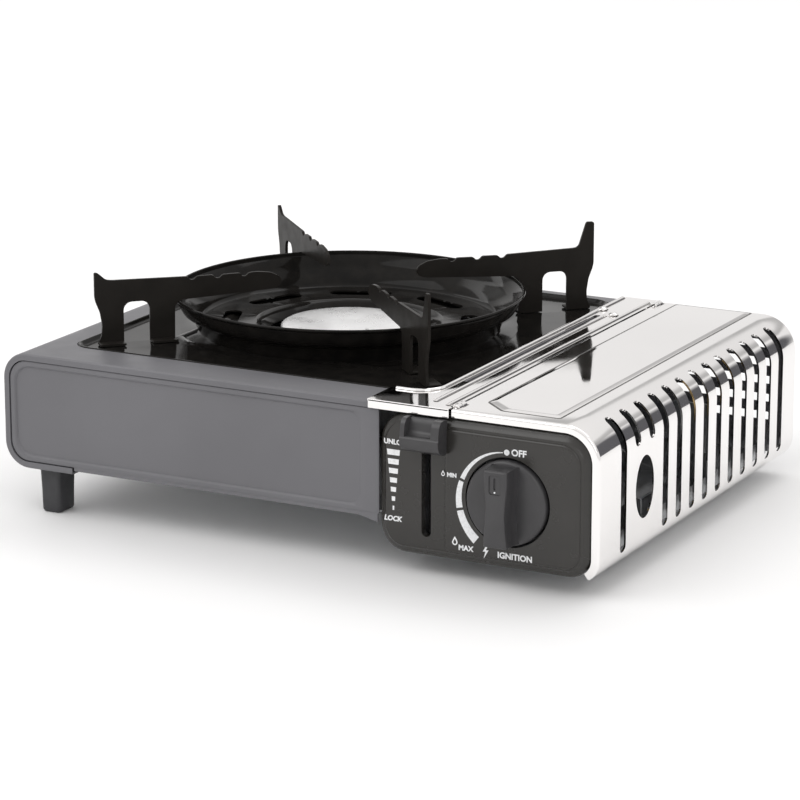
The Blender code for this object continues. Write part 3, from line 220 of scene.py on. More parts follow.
WHITE = coated(
    "white_print", ((0.80, 0.81, 0.82), 0.45),
    (700, 4, [(0.25, (0.62, 0.63, 0.64)), (0.5, (0.82, 0.83, 0.84))]), reliefs=[(2500, 2, 0.01, 0.3)])
STEEL = galvanised()
CAST = coated(
    "cast_aluminium", ((0.55, 0.55, 0.55), 0.45, 1.0),
    (60, 5, [(0.3, (0.48, 0.48, 0.48)), (0.7, (0.60, 0.60, 0.59))]), (300, 5, [(0.3, 0.36), (0.75, 0.58)]),
    [(1200, 4, 0.05, 0.5)])
CAP = bright_cap()
BRASS = coated(
    "brass", ((0.70, 0.50, 0.23), 0.30, 1.0),
    (150, 5, [(0.3, (0.60, 0.42, 0.19)), (0.7, (0.76, 0.56, 0.28))]), (300, 4, [(0.3, 0.22), (0.75, 0.42)]),
    [(1500, 3, 0.02, 0.3)])
CERAMIC = coated(
    "glazed_ceramic", ((0.80, 0.78, 0.72), 0.22),
    (200, 4, [(0.3, (0.74, 0.71, 0.65)), (0.7, (0.84, 0.82, 0.77))]), (300, 4, [(0.3, 0.16), (0.75, 0.30)]))
# Dark chrome for the thin strips along the foot of the top plate's beads and of the lid's raised panel:
# painted shade and painted dark reflection, not a dark finish of the metal.
PAINTED_SHADE_CHROME = coated(
    "chrome_crease", ((0.10, 0.095, 0.09), 0.30, 0.9),
    (260, 5, [(0.3, (0.05, 0.048, 0.046)), (0.75, (0.17, 0.16, 0.15))]),
    (400, 4, [(0.3, 0.22), (0.75, 0.42)]))


# ---------------------------------------------------------------- shapes
def arc(centre, radius, start, end, steps):
    turns = [math.radians(start + (end - start) * i / steps) for i in range(steps + 1)]
    return [(centre[0] + radius * math.cos(t), centre[1] + radius * math.sin(t)) for t in turns]


def circle(centre, radius):
    return arc(centre, radius, 0, 345, 23)


def rounded(low, high, radii, steps=10):
    """A rounded rectangle, anticlockwise, with its radii from the lower left corner on."""
    if isinstance(radii, float):
        radii = (radii,) * 4
    a, b, c, d = radii
    return (
        arc((low[0] + a, low[1] + a), a, 180, 270, steps)
        + arc((high[0] - b, low[1] + b), b, 270, 360, steps)
        + arc((high[0] - c, high[1] - c), c, 0, 90, steps)
        + arc((low[0] + d, high[1] - d), d, 90, 180, steps))


def new_object(name, shape):
    mesh = bpy.data.meshes.new(name)
    bmesh.ops.recalc_face_normals(shape, faces=shape.faces)
    shape.to_mesh(mesh)
    shape.free()
    obj = bpy.data.objects.new(name, mesh)
    bpy.context.scene.collection.objects.link(obj)
    return obj


def rings(name, rows, closed_rows=True, closed_rings=False, caps=True):
    """Joins rows of points of equal number with quads, and closes the first and last row."""
    shape = bmesh.new()
    made = [[shape.verts.new(p) for p in row] for row in rows]
    pairs = list(zip(made, made[1:] + made[:1] if closed_rings else made[1:]))
    for a, b in pairs:
        count = len(a)
        for i in range(count if closed_rows else count - 1):
            j = (i + 1) % count
            shape.faces.new((a[i], a[j], b[j], b[i]))
    if caps and not closed_rings:
        shape.faces.new(made[0])
        shape.faces.new(made[-1][::-1])
    if caps and closed_rings and not closed_rows:
        shape.faces.new([row[0] for row in made])
        shape.faces.new([row[-1] for row in made][::-1])
    return new_object(name, shape)


def turned(name, profile, centre, segments=128):
    """A piece of revolution about Z from a closed profile of (radius, height) points."""
    turns = [2 * math.pi * i / segments for i in range(segments)]
    x, y = centre
    rows = [[(x + r * math.cos(t), y + r * math.sin(t), z) for r, z in profile] for t in turns]
    made = rings(name, rows, closed_rings=True, caps=False)
    return weld(made)


def weld(obj, distance=0.004 * MM):
    shape = bmesh.new()
    shape.from_mesh(obj.data)
    bmesh.ops.remove_doubles(shape, verts=shape.verts, dist=distance)
    bmesh.ops.dissolve_degenerate(shape, edges=shape.edges, dist=distance)
    bmesh.ops.recalc_face_normals(shape, faces=shape.faces)
    shape.to_mesh(obj.data)
    shape.free()
    return obj


UPRIGHT = Matrix.Rotation(math.pi / 2, 4, "X")


def plate(name, outlines, thickness, place):
    """A flat outline with holes, given a thickness, in its own plane."""
    curve = bpy.data.curves.new(name, "CURVE")
    curve.dimensions = "2D"
    curve.fill_mode = "BOTH"
    curve.extrude = thickness / 2
    for points in outlines:
        spline = curve.splines.new("POLY")
        spline.points.add(len(points) - 1)
        for point, (x, y) in zip(spline.points, points):
            point.co = (x, y, 0.0, 1.0)
        spline.use_cyclic_u = True
    holder = bpy.data.objects.new(name + "_curve", curve)
    bpy.context.scene.collection.objects.link(holder)
    bpy.context.view_layer.update()
    graph = bpy.context.evaluated_depsgraph_get()
    mesh = bpy.data.meshes.new_from_object(holder.evaluated_get(graph))
    bpy.data.objects.remove(holder, do_unlink=True)
    mesh.transform(place)
    mesh.name = name
    obj = bpy.data.objects.new(name, mesh)
    bpy.context.scene.collection.objects.link(obj)
    return weld(obj)


def front_plate(name, outlines, near, far):
    """An XZ outline that runs from y = near back to y = far."""
    return plate(name, outlines, far - near, Matrix.Translation((0, (near + far) / 2, 0)) @ UPRIGHT)


def level_plate(name, outlines, bottom, top):
    return plate(name, outlines, top - bottom, Matrix.Translation((0, 0, (bottom + top) / 2)))


def side_plate(name, outlines, left, right):
    """A YZ outline that runs from x = left to x = right."""
    place = Matrix.Translation(((left + right) / 2, 0, 0)) @ Matrix.Rotation(math.pi / 2, 4, "Z") @ UPRIGHT
    return plate(name, outlines, right - left, place)


def block(name, low, high):
    shape = bmesh.new()
    bmesh.ops.create_cube(shape, size=1.0)
    low, high = Vector(low), Vector(high)
    bmesh.ops.scale(shape, vec=high - low, verts=shape.verts)
    bmesh.ops.translate(shape, vec=(low + high) / 2, verts=shape.verts)
    return new_object(name, shape)


def tube(name, points, radius, sides=10, ends=True):
    """A rod along the points, with flat caps on its ends."""
    curve = bpy.data.curves.new(name, "CURVE")
    curve.dimensions = "3D"
    curve.bevel_depth = radius
    curve.bevel_resolution = sides // 2
    curve.use_fill_caps = ends
    spline = curve.splines.new("POLY")
    spline.points.add(len(points) - 1)
    for point, place in zip(spline.points, points):
        point.co = (*place, 1.0)
    holder = bpy.data.objects.new(name + "_curve", curve)
    bpy.context.scene.collection.objects.link(holder)
    bpy.context.view_layer.update()
    graph = bpy.context.evaluated_depsgraph_get()
    mesh = bpy.data.meshes.new_from_object(holder.evaluated_get(graph))
    bpy.data.objects.remove(holder, do_unlink=True)
    obj = bpy.data.objects.new(name, mesh)
    bpy.context.scene.collection.objects.link(obj)
    return weld(obj)


def bake(obj):
    """Applies the modifiers."""
    bpy.context.view_layer.update()
    graph = bpy.context.evaluated_depsgraph_get()
    mesh = bpy.data.meshes.new_from_object(obj.evaluated_get(graph))
    obj.modifiers.clear()
    obj.data = mesh
    return obj


def boolean(target, tool, operation):
    modifier = target.modifiers.new("cut", "BOOLEAN")
    modifier.operation = operation
    modifier.solver = "MANIFOLD"
    modifier.object = tool
    bake(target)
    bpy.data.objects.remove(tool, do_unlink=True)
    return target


def cut(target, *tools):
    for tool in tools:
        boolean(target, tool, "DIFFERENCE")
    return target


def join(target, *tools):
    for tool in tools:
        boolean(target, tool, "UNION")
    return target


def round_edges(obj, width, segments=3, degrees=38):
    modifier = obj.modifiers.new("edges", "BEVEL")
    modifier.width = width
    modifier.segments = segments
    modifier.limit_method = "ANGLE"
    modifier.angle_limit = math.radians(degrees)
    modifier.harden_normals = True
    modifier.use_clamp_overlap = True
    return obj


def smooth(obj, degrees=40):
    obj.data.shade_smooth()
    obj.data.set_sharp_from_angle(angle=math.radians(degrees))
    return obj


def finish_piece(obj, body, finish, slot, *nodes):
    """Gives a piece its material and body, and hides the CAD nodes it stands for; slot is not used."""
    obj.data.materials.clear()
    obj.data.materials.append(finish)
    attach(obj, body)
    if nodes:
        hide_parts(*nodes)
    return obj


# ---------------------------------------------------------------- body shell and front panel
SHELL_ROUND = 14.0 * MM
SHELL_WRAP = 41.0 * MM
RIM = 3.5 * MM


def shell_path(inset):
    radius = SHELL_ROUND - inset
    steps = 14
    return (
        [(LEFT + SHELL_WRAP, BOTTOM + inset)]
        + arc((LEFT + SHELL_ROUND, BOTTOM + SHELL_ROUND), radius, 270, 180, steps)
        + arc((LEFT + SHELL_ROUND, DECK - SHELL_ROUND), radius, 180, 90, steps)
        + [(DECK_RIGHT, DECK - inset)])


LID_ROUND = 19.0 * MM
LID_CURL = 12.5 * MM
LID_LIP = 4.0 * MM


def lid_path(inset):
    return (
        [(LID_LEFT, LID_TOP - inset)]
        + arc((RIGHT - LID_ROUND, LID_TOP - LID_ROUND), LID_ROUND - inset, 90, 0, 27)
        + arc((RIGHT - LID_CURL, LID_BOTTOM_LINE + LID_CURL), LID_CURL - inset, 0, -55, 12))


def folded(name, path, lip, fold, stations=()):
    """A bent sheet with its front and back edges folded in over a small radius, and rows at the stations."""
    steps = 8
    turn = [math.radians(90 * i / steps) for i in range(steps + 1)]
    front = [(FRONT + fold * (1 - math.sin(t)), fold * (1 - math.cos(t))) for t in turn]
    front = [(y, inset) for y, inset in reversed(front)]
    outer = [(FRONT + SHEET, lip), (FRONT, lip)] + front
    back = [(FRONT + BACK - y, inset) for y, inset in reversed(outer)]
    inner = [(BACK - SHEET, SHEET)] + [(y, SHEET) for y in reversed(stations)] + [(FRONT + SHEET, SHEET)]
    skin = [(y, 0.0) for y in stations]
    rows = [[(x, y, z) for x, z in path(inset)] for y, inset in outer + skin + back + inner]
    return rings(name, rows, closed_rows=False, closed_rings=True)


def tray_outline(grow):
    low = (TRAY_LOW.x - 0.5 * MM - grow, TRAY_LOW.y - 0.5 * MM - grow)
    high = (TRAY_HIGH.x + 0.5 * MM + grow, TRAY_HIGH.y + 0.5 * MM + grow)
    return rounded(low, high, 12.0 * MM + grow, 12)


def body_shell():
    shell = folded("shell", shell_path, RIM, 1.3 * MM)
    cut(shell, level_plate("opening", [tray_outline(0.0)], DECK - 6 * MM, DECK + 4 * MM))
    wall = level_plate(
        "wall", [tray_outline(SHEET), tray_outline(0.0)], TRAY_FLOOR - 1.6 * MM, DECK - 0.4 * MM)
    ledge = level_plate(
        "ledge", [tray_outline(SHEET), tray_outline(-4 * MM)], TRAY_FLOOR - 2.4 * MM, TRAY_FLOOR - 1.5 * MM)
    for piece, name in ((wall, "shell_well"), (ledge, "shell_ledge")):
        piece.name = name
        finish_piece(piece, "stove", GREY, "body_shell")
    finish_piece(smooth(shell), "stove", GREY, "body_shell", "body_shell")


def dished(name, outline, steps, thickness):
    """A pressed panel: outlines at growing insets, each at its own y, closed at the back."""
    rows = [[(x, steps[0][1] + thickness, z) for x, z in outline(steps[0][0])]]
    rows += [[(x, y, z) for x, z in outline(inset)] for inset, y in steps]
    return rings(name, rows)


def front_panel():
    left = LEFT + RIM + 0.3 * MM
    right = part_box("front_panel")[1].x
    bottom = BOTTOM + RIM + 0.3 * MM
    top = DECK - RIM - 0.3 * MM
    corner = SHELL_ROUND - RIM

    def outline(inset):
        soft = max(0.0, min(1.0, inset / (4 * MM)))
        radii = (
            corner - 1 * MM * soft, 0.8 * MM + 6 * MM * soft, 0.8 * MM + 7 * MM * soft,
            corner - 2 * MM * soft)
        side = inset + 8.5 * MM * soft
        return rounded((left + inset, bottom + inset), (right - side, top - inset), radii)

    y = FRONT + 0.4 * MM
    steps = [
        (0.0, y + 0.4 * MM), (0.3 * MM, y + 0.1 * MM), (0.7 * MM, y), (2.3 * MM, y),
        (2.7 * MM, y + 0.15 * MM), (3.3 * MM, y + 0.9 * MM), (3.9 * MM, y + 1.8 * MM),
        (4.4 * MM, y + 2.3 * MM), (5.0 * MM, y + 2.4 * MM), (5.8 * MM, y + 2.25 * MM),
        (7.0 * MM, y + 1.9 * MM), (9.0 * MM, y + 1.75 * MM), (12.0 * MM, y + 1.7 * MM)]
    panel = dished("front_face", outline, steps, 0.8 * MM)
    finish_piece(smooth(panel, 50), "stove", GREY, "front_panel", "front_panel")
    wrap_end = LEFT + SHELL_WRAP + 0.8 * MM
    lip = front_plate(
        "front_face_flange",
        [[(wrap_end, BOTTOM + 2.0 * MM), (right - 12 * MM, BOTTOM + 2.0 * MM),
        (right - 0.6 * MM, BOTTOM - 0.6 * MM), (right - 0.6 * MM, bottom + 0.6 * MM),
        (wrap_end, bottom + 0.6 * MM)]], y + 0.2 * MM, y + 1.3 * MM)
    round_edges(lip, 0.35 * MM)
    finish_piece(smooth(lip), "stove", GREY, "front_panel")


# ---------------------------------------------------------------- tray, ring, cap and supports
def drip_tray():
    """A shallow pressed square with a rolled edge, a round well and a raised bead round the ring."""
    x, y = BURNER.x, BURNER.y
    low = (TRAY_LOW.x, TRAY_LOW.y)
    high = (TRAY_HIGH.x, TRAY_HIGH.y)
    corner = 11.5 * MM
    top = TRAY_HIGH.z
    floor = TRAY_FLOOR

    def square(inset):
        return rounded(
            (low[0] + inset, low[1] + inset), (high[0] - inset, high[1] - inset),
            corner - min(inset, 6 * MM) * 0.4, 12)

    count = len(square(0.0))

    def circle(radius):
        outline = square(40 * MM)
        turned_points = []
        for px, py in outline:
            angle = math.atan2(py - y, px - x)
            turned_points.append((x + radius * math.cos(angle), y + radius * math.sin(angle)))
        return turned_points

    assert count == len(circle(0.05))
    rows = [
        (square(0.0), top - 1.4 * MM), (square(0.0), top - 0.3 * MM), (square(0.3 * MM), top),
        (square(0.8 * MM), top), (square(1.2 * MM), top - 0.3 * MM), (square(1.8 * MM), floor + 0.5 * MM),
        (square(2.6 * MM), floor + 0.05 * MM), (square(4.0 * MM), floor), (circle(97.5 * MM), floor),
        (circle(96.0 * MM), floor + 0.35 * MM), (circle(94.8 * MM), floor + 0.9 * MM),
        (circle(93.2 * MM), floor + 1.1 * MM), (circle(91.4 * MM), floor + 0.9 * MM),
        (circle(90.0 * MM), floor + 0.2 * MM), (circle(88.0 * MM), floor - 0.1 * MM),
        (circle(68.5 * MM), floor - 0.1 * MM), (circle(68.0 * MM), floor - 0.9 * MM),
        (circle(88.0 * MM), floor - 1.0 * MM), (square(3.0 * MM), floor - 1.0 * MM)]
    points = [[(px, py, z) for px, py in outline] for outline, z in rows]
    tray = rings("tray_pan", points, closed_rings=True, caps=False)
    finish_piece(smooth(tray, 60), "tray", ENAMEL, "drip_tray", "drip_tray")


def wind_ring():
    x, y = BURNER.x, BURNER.y
    rim = RING_HIGH.x - x
    top = RING_HIGH.z
    base = RING_LOW.z
    bead = 0.75 * MM
    roll = arc((rim - bead, top - bead), bead, -60, 200, 10)
    outer = [
        (rim - 1.9 * MM, top - 3.6 * MM), (rim - 3.6 * MM, top - 7.2 * MM),
        (rim - 5.0 * MM, top - 9.6 * MM), (rim - 6.6 * MM, top - 10.6 * MM),
        (rim - 8.6 * MM, top - 11.4 * MM), (rim - 10.6 * MM, top - 13.2 * MM),
        (rim - 12.4 * MM, base + 3.2 * MM), (rim - 13.4 * MM, base + 1.0 * MM),
        (rim - 12.2 * MM, base + 0.3 * MM), (rim - 4.0 * MM, base + 0.3 * MM)]
    foot = [
        (rim - 4.0 * MM, base), (74.0 * MM, base), (74.0 * MM, base + 0.8 * MM),
        (rim - 15.0 * MM, base + 1.4 * MM)]
    ledge_z = top - 17.5 * MM
    inner = [
        (rim - 14.6 * MM, ledge_z - 1.5 * MM), (rim - 15.4 * MM, ledge_z - 0.9 * MM),
        (50.0 * MM, ledge_z - 1.0 * MM), (47.0 * MM, ledge_z - 2.0 * MM), (44.6 * MM, ledge_z - 6.0 * MM),
        (43.8 * MM, ledge_z - 5.8 * MM), (46.0 * MM, ledge_z - 1.6 * MM), (49.0 * MM, ledge_z - 0.1 * MM),
        (51.0 * MM, ledge_z), (rim - 17.0 * MM, ledge_z), (rim - 14.2 * MM, ledge_z + 0.5 * MM),
        (rim - 13.2 * MM, ledge_z + 2.0 * MM), (rim - 10.8 * MM, top - 11.8 * MM),
        (rim - 6.4 * MM, top - 9.2 * MM), (rim - 4.6 * MM, top - 6.8 * MM),
        (rim - 2.7 * MM, top - 3.2 * MM)]
    ring = turned("wind_bowl", roll[::-1] + inner[::-1] + foot[::-1] + outer[::-1], (x, y), 144)
    slots = 8
    for i in range(slots):
        place = (
            Matrix.Translation((x, y, ledge_z)) @ Matrix.Rotation(2 * math.pi * (i + 0.5) / slots, 4,
            "Z") @ Matrix.Translation((64.0 * MM, 0, 0)))
        tool = plate(
            "slot", [rounded((-4.8 * MM, -17 * MM), (4.8 * MM, 17 * MM), 4.6 * MM, 8)], 8 * MM, place)
        cut(ring, tool)
    finish_piece(smooth(ring, 50), "tray", ENAMEL, "wind_ring", "wind_ring")


def burner_cap():
    x, y = BURNER.x, BURNER.y
    radius = CAP_HIGH.x - x
    top = CAP_HIGH.z
    low = CAP_LOW.z
    dome = [(0.0, top), (6 * MM, top - 0.02 * MM)]
    dome += [(radius * k, top - 1.3 * MM * k**3) for k in (0.3, 0.45, 0.6, 0.72, 0.82, 0.9, 0.95)]
    edge = [
        (radius - 0.7 * MM, top - 1.7 * MM), (radius - 0.1 * MM, top - 2.3 * MM), (radius, top - 3.0 * MM),
        (radius - 0.5 * MM, top - 3.8 * MM), (radius - 2.4 * MM, top - 5.6 * MM)]
    under = [(28.5 * MM, top - 5.8 * MM), (28.5 * MM, low), (27.0 * MM, low), (0.0, low)]
    cap = turned("cap_disc", (dome + edge + under)[::-1], (x, y), 96)
    # Matt black discs on the cap's lower edge stand for the flame port openings: painted shade of the holes,
    # not a part of the cap.
    ports = 36
    rows = []
    for i in range(ports):
        turn = 2 * math.pi * i / ports
        rows.append(
            (x + (radius - 1.6 * MM) * math.cos(turn), y + (radius - 1.6 * MM) * math.sin(turn),
            top - 4.9 * MM, turn))
    shape = bmesh.new()
    for px, py, pz, turn in rows:
        place = Matrix.Translation(
            (px, py, pz)) @ Matrix.Rotation(turn, 4, "Z") @ Matrix.Rotation(math.pi / 2 + 0.5, 4, "Y")
        bmesh.ops.create_cone(
            shape, cap_ends=True, segments=10, radius1=0.7 * MM, radius2=0.7 * MM, depth=0.5 * MM,
            matrix=place)
    port_shade_discs = new_object("cap_port_painted_shade", shape)
    finish_piece(smooth(port_shade_discs), "stove", MATT, "burner_cap")
    finish_piece(smooth(cap, 50), "stove", CAP, "burner_cap", "burner_cap")


SUPPORTS = {
    "pan_support_rear_right": 45, "pan_support_rear_left": 135, "pan_support_front_left": 225,
    "pan_support_front_right": 315}


def soften(points, radius, steps=4):
    """The same outline with each corner cut by a short curve."""
    made = []
    count = len(points)
    for i in range(count):
        before, here, after = (Vector(points[(i + k) % count]) for k in (-1, 0, 1))
        back, ahead = before - here, after - here
        reach = min(radius, back.length * 0.45, ahead.length * 0.45)
        if reach < 0.02 * MM:
            made.append(tuple(here))
            continue
        start, end = here + back.normalized() * reach, here + ahead.normalized() * reach
        for k in range(steps + 1):
            t = k / steps
            made.append(tuple(start * (1 - t) ** 2 + here * 2 * t * (1 - t) + end * t * t))
    return made


def pan_support(node, degrees):
    low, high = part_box(node)
    reach = max((Vector((v.co.x, v.co.y)) - BURNER.xy).length for v in NODES[node].data.vertices)
    base = low.z
    horn_top = high.z - base
    tall = horn_top > 42 * MM
    top = 33.2 * MM
    length = 101.5 * MM
    ring_edge = reach - (RING_HIGH.x - BURNER.x) - 1.4 * MM
    under = RING_HIGH.z - base + 0.5 * MM
    if tall:
        horn = [
            (0.0, horn_top), (3.9 * MM, horn_top), (4.6 * MM, horn_top - 0.8 * MM),
            (8.4 * MM, top + 2.4 * MM), (9.6 * MM, top + 1.2 * MM), (11.5 * MM, top + 0.9 * MM)]
    else:
        horn = [
            (0.0, horn_top), (1.6 * MM, horn_top), (3.4 * MM, horn_top - 1.4 * MM),
            (6.2 * MM, top + 1.2 * MM), (9.0 * MM, top + 0.7 * MM)]
    outer = [
        (1.4 * MM, 0.0), (3.6 * MM, 5.0 * MM), (3.9 * MM, 10.0 * MM), (2.8 * MM, 17.0 * MM),
        (0.6 * MM, 22.5 * MM), (0.0, 25.3 * MM)]
    teeth = []
    spans = ((50.0, 54.2), (64.0, 68.2), (78.5, 82.5))
    for start, end in spans:
        teeth += [
            (start * MM, top), ((start + 1.5) * MM, top - 1.8 * MM), ((end - 0.6) * MM, top - 1.9 * MM),
            ((end + 0.9) * MM, top - 0.2 * MM)]
    nose = [
        (88.0 * MM, top + 0.1 * MM), (length - 6.0 * MM, top - 0.8 * MM),
        (length - 1.2 * MM, top - 3.2 * MM), (length, top - 5.6 * MM), (length - 1.0 * MM, top - 8.2 * MM),
        (length - 5.0 * MM, top - 9.6 * MM)]
    throat = [
        (ring_edge + 16 * MM, under + 0.6 * MM), (ring_edge + 3.0 * MM, under),
        (ring_edge, under - 3.0 * MM), (ring_edge - 0.2 * MM, 0.0)]
    outline = soften(outer + horn + teeth + nose + throat, 1.3 * MM)
    window = [(15.4 * MM, -1.0 * MM), (29.5 * MM, -1.0 * MM)]
    window += arc(
        (25.0 * MM, 17.3 * MM), 4.5 * MM, 0, 90, 8) + arc((19.9 * MM, 17.3 * MM), 4.5 * MM, 90, 180, 8)
    place = (
        Matrix.Translation((BURNER.x, BURNER.y, base)) @ Matrix.Rotation(math.radians(degrees), 4,
        "Z") @ Matrix.Translation((reach, 0, 0)) @ Matrix.Rotation(math.pi, 4, "Z") @ UPRIGHT)
    arm = plate(node + "_arm", [outline], 1.6 * MM, place)
    cut(arm, plate("window", [window], 8 * MM, place))
    round_edges(arm, 0.45 * MM, 3, 30)
    finish_piece(smooth(arm), "tray", SUPPORT, node, node)
    for index, (start, end) in enumerate(((1.4, 15.2), (29.7, 43.2))):
        outline = rounded((start * MM, 0.0), (end * MM, 1.2 * MM), 0.3 * MM, 2)
        toe = plate(
            "%s_toe_%d" % (node, index + 1), [outline], 7.0 * MM,
            place @ Matrix.Translation((0, 0, 3.6 * MM)))
        round_edges(toe, 0.35 * MM, 2)
        finish_piece(smooth(toe), "tray", SUPPORT, node)


# ---------------------------------------------------------------- chrome: top plate and lid
def top_plate():
    base = DECK + 0.4 * MM
    top = base + SHEET
    left = TRAY_HIGH.x + 1.7 * MM
    front_left = PLATE_LOW.x
    near = PLATE_LOW.y
    tray_front = TRAY_LOW.y - 1.7 * MM
    right = LID_LEFT - 0.9 * MM
    corner = 13.0 * MM
    inner_corner = arc((left - corner, tray_front + corner), corner, 0, -90, 10)
    outline = (
        [(front_left, near), (right, near), (right, BACK), (left, BACK)] + inner_corner
        + [(front_left, tray_front)])
    strip = level_plate("trim_plate", [outline], base, top)
    gap = 3.1 * MM
    x = left + 6.0 * MM
    slot = rounded((x - gap / 2, FRONT + 50 * MM), (x + gap / 2, BACK - 46 * MM), gap / 2.1, 6)
    cut(strip, level_plate("slot", [slot], base - MM, top + MM))
    for x, y in ((left + 4.0 * MM, BACK - 33 * MM), (left + 14.5 * MM, BACK - 43 * MM)):
        hole = level_plate("hole", [circle((x, y), 1.9 * MM)], base - MM, top + MM)
        cut(strip, hole)
    hinge_room(strip)
    round_edges(strip, 0.35 * MM, 3)
    finish_piece(smooth(strip), "stove", CHROME, "top_plate", "top_plate")
    hinge_eyes("stove", "top_plate", -1, EYE_LENGTH + 0.5 * MM)
    lip = block("trim_lip", (front_left, near, LEVER_TOP_GAP), (right, near + SHEET, top - 0.1 * MM))
    round_edges(lip, 0.4 * MM, 3)
    finish_piece(smooth(lip), "stove", CHROME, "top_plate")
    beads = (
        ("trim_bead_left", left + 1.6 * MM, tray_front + corner, BACK - 4 * MM, 1.25 * MM),
        ("trim_bead_middle", left + 9.8 * MM, FRONT + 9 * MM, BACK - 46 * MM, 1.1 * MM),
        ("trim_bead_right", right - 3.4 * MM, FRONT + 5 * MM, BACK - 8 * MM, 1.0 * MM))
    for name, x, start, end, radius in beads:
        points = [(x, start, top), (x, end, top)]
        if name == "trim_bead_left":
            bend = arc((left + 1.6 * MM - corner, tray_front + corner - 1.6 * MM), corner, -90, 0, 12)
            points = [
                (front_left + 4 * MM, bend[0][1], top)] + [(px, py, top) for px,
                py in bend] + [(x, end, top)]
        rod = tube(name, points, radius)
        finish_piece(smooth(rod, 50), "stove", CHROME, "top_plate")
        # Under each bead, a flattened dark strip: painted shade along the bead's base.
        shade = tube(
            name + "_crease", [(px, py, top - 0.18 * MM) for px, py, _ in points], radius + 0.5 * MM, 16)
        shade.data.transform(
            Matrix.Translation((0, 0, top)) @ Matrix.Diagonal((1, 1, 0.16, 1)) @ Matrix.Translation((0, 0,
            -top)))
        finish_piece(smooth(shade, 50), "stove", PAINTED_SHADE_CHROME, "top_plate")


LOUVRE_WIDTH = 6.8 * MM
LOUVRE_TURN = 63.0


def louvre_cutters(slots):
    """One mesh of cutters that follow the lid round its bend; each slot is (middle y, bottom z)."""
    shape = bmesh.new()
    half = LOUVRE_WIDTH / 2
    cap = [
        (half * (1 - math.cos(t)), half * math.sin(t)) for t in (math.radians(15 * k) for k in range(1, 7))]
    turn = math.radians(LOUVRE_TURN)
    for middle, bottom in slots:
        length = turn * LID_ROUND + LID_TOP - LID_ROUND - bottom
        along = list(cap) + [(half + (turn * LID_ROUND - half) * k / 12, half) for k in range(1, 13)]
        along += [(length - s, wide) for s, wide in reversed(cap)]
        rows = []
        for distance, wide in along:
            angle = max(turn - distance / LID_ROUND, 0.0)
            drop = max(distance - turn * LID_ROUND, 0.0)
            row = []
            for radius, side in ((-5, -1), (3, -1), (3, 1), (-5, 1)):
                reach = LID_ROUND + radius * MM
                x = RIGHT - LID_ROUND + reach * math.cos(angle)
                z = LID_TOP - LID_ROUND + reach * math.sin(angle) - drop
                row.append(shape.verts.new((x, middle + side * wide, z)))
            rows.append(row)
        for near, far in zip(rows, rows[1:]):
            for i in range(4):
                shape.faces.new((near[i], near[i - 1], far[i - 1], far[i]))
        shape.faces.new(rows[0])
        shape.faces.new(rows[-1][::-1])
    return new_object("louvres", shape)


def cartridge_lid():
    pitch, first = 17.1 * MM, 28.5 * MM
    middles = [FRONT + first + i * pitch for i in range(13)]
    stations = [middle + k * MM for middle in middles for k in (-6.8, -4.6, 4.6, 6.8)]
    lid = folded("lid_sheet", lid_path, LID_LIP, 1.6 * MM, stations)
    low_end = LID_BOTTOM_LINE + LID_CURL * 0.75
    ends = [LID_TOP - LID_ROUND - 0.5 * MM if i in (1, 2) else low_end for i in range(13)]
    cut(lid, louvre_cutters(list(zip(middles, ends))))
    oval_y = FRONT + first + 1.5 * pitch
    oval_z = (LID_TOP + LID_BOTTOM) / 2 - 4 * MM
    oval = [
        (oval_y + 11 * MM * math.cos(a), oval_z + 16 * MM * math.sin(a))
        for a in (math.radians(7.5 * k) for k in range(48))]
    cut(lid, side_plate("oval", [oval], RIGHT - 6 * MM, RIGHT + 3 * MM))
    hinge_room(lid)
    finish_piece(smooth(lid, 35), "lid", CHROME, "cartridge_lid", "cartridge_lid")
    hinge_eyes("lid", "cartridge_lid", 1, 0.0)

    panel_low = (LID_LEFT + 10.5 * MM, FRONT + 9.5 * MM)
    panel_high = (LID_LEFT + 53.5 * MM, BACK - 3 * MM)
    chamfer = 13 * MM

    def raised(inset):
        x0, y0 = panel_low[0] + inset, panel_low[1] + inset
        x1, y1 = panel_high[0] - inset, panel_high[1] - inset
        return soften(
            [(x0 + chamfer, y0), (x1, y0), (x1, y1), (x0, y1), (x0, y0 + chamfer * 0.9)], 1.6 * MM, 5)

    rows = []
    steps = (
        (0.0, -0.3), (0.0, 0.1), (0.3, 0.2), (0.9, 0.31), (1.5, 0.42), (2.1, 0.53), (2.7, 0.6), (3.3, 0.62))
    for inset, rise in steps:
        rows.append([(px, py, LID_TOP + rise * MM) for px, py in raised(inset * MM)])
    pressing = rings("lid_raised_panel", rows)
    finish_piece(smooth(pressing, 50), "lid", CHROME, "cartridge_lid")
    # A thin dark ring round the raised panel's foot: painted shade where the pressing meets the lid.
    painted_shade_ring = level_plate(
        "lid_panel_crease", [raised(-0.9 * MM), raised(0.05 * MM)], LID_TOP - 0.3 * MM, LID_TOP + 0.06 * MM)
    finish_piece(smooth(painted_shade_ring), "lid", PAINTED_SHADE_CHROME, "cartridge_lid")


# ---------------------------------------------------------------- hinge
EYE_STARTS = (FRONT + 3.5 * MM, BACK - 12.5 * MM)
EYE_LENGTH = 4.0 * MM
EYE_RADIUS = 2.2 * MM


def hinge_room(leaf):
    """Clears both leaves' room for the rolled eyes."""
    for start in EYE_STARTS:
        low = (HINGE_X - 2.9 * MM, start - 0.5 * MM, HINGE_Z - 5 * MM)
        high = (HINGE_X + 2.9 * MM, start + 2 * EYE_LENGTH + 1.0 * MM, HINGE_Z + 5 * MM)
        cut(leaf, block("room", low, high))


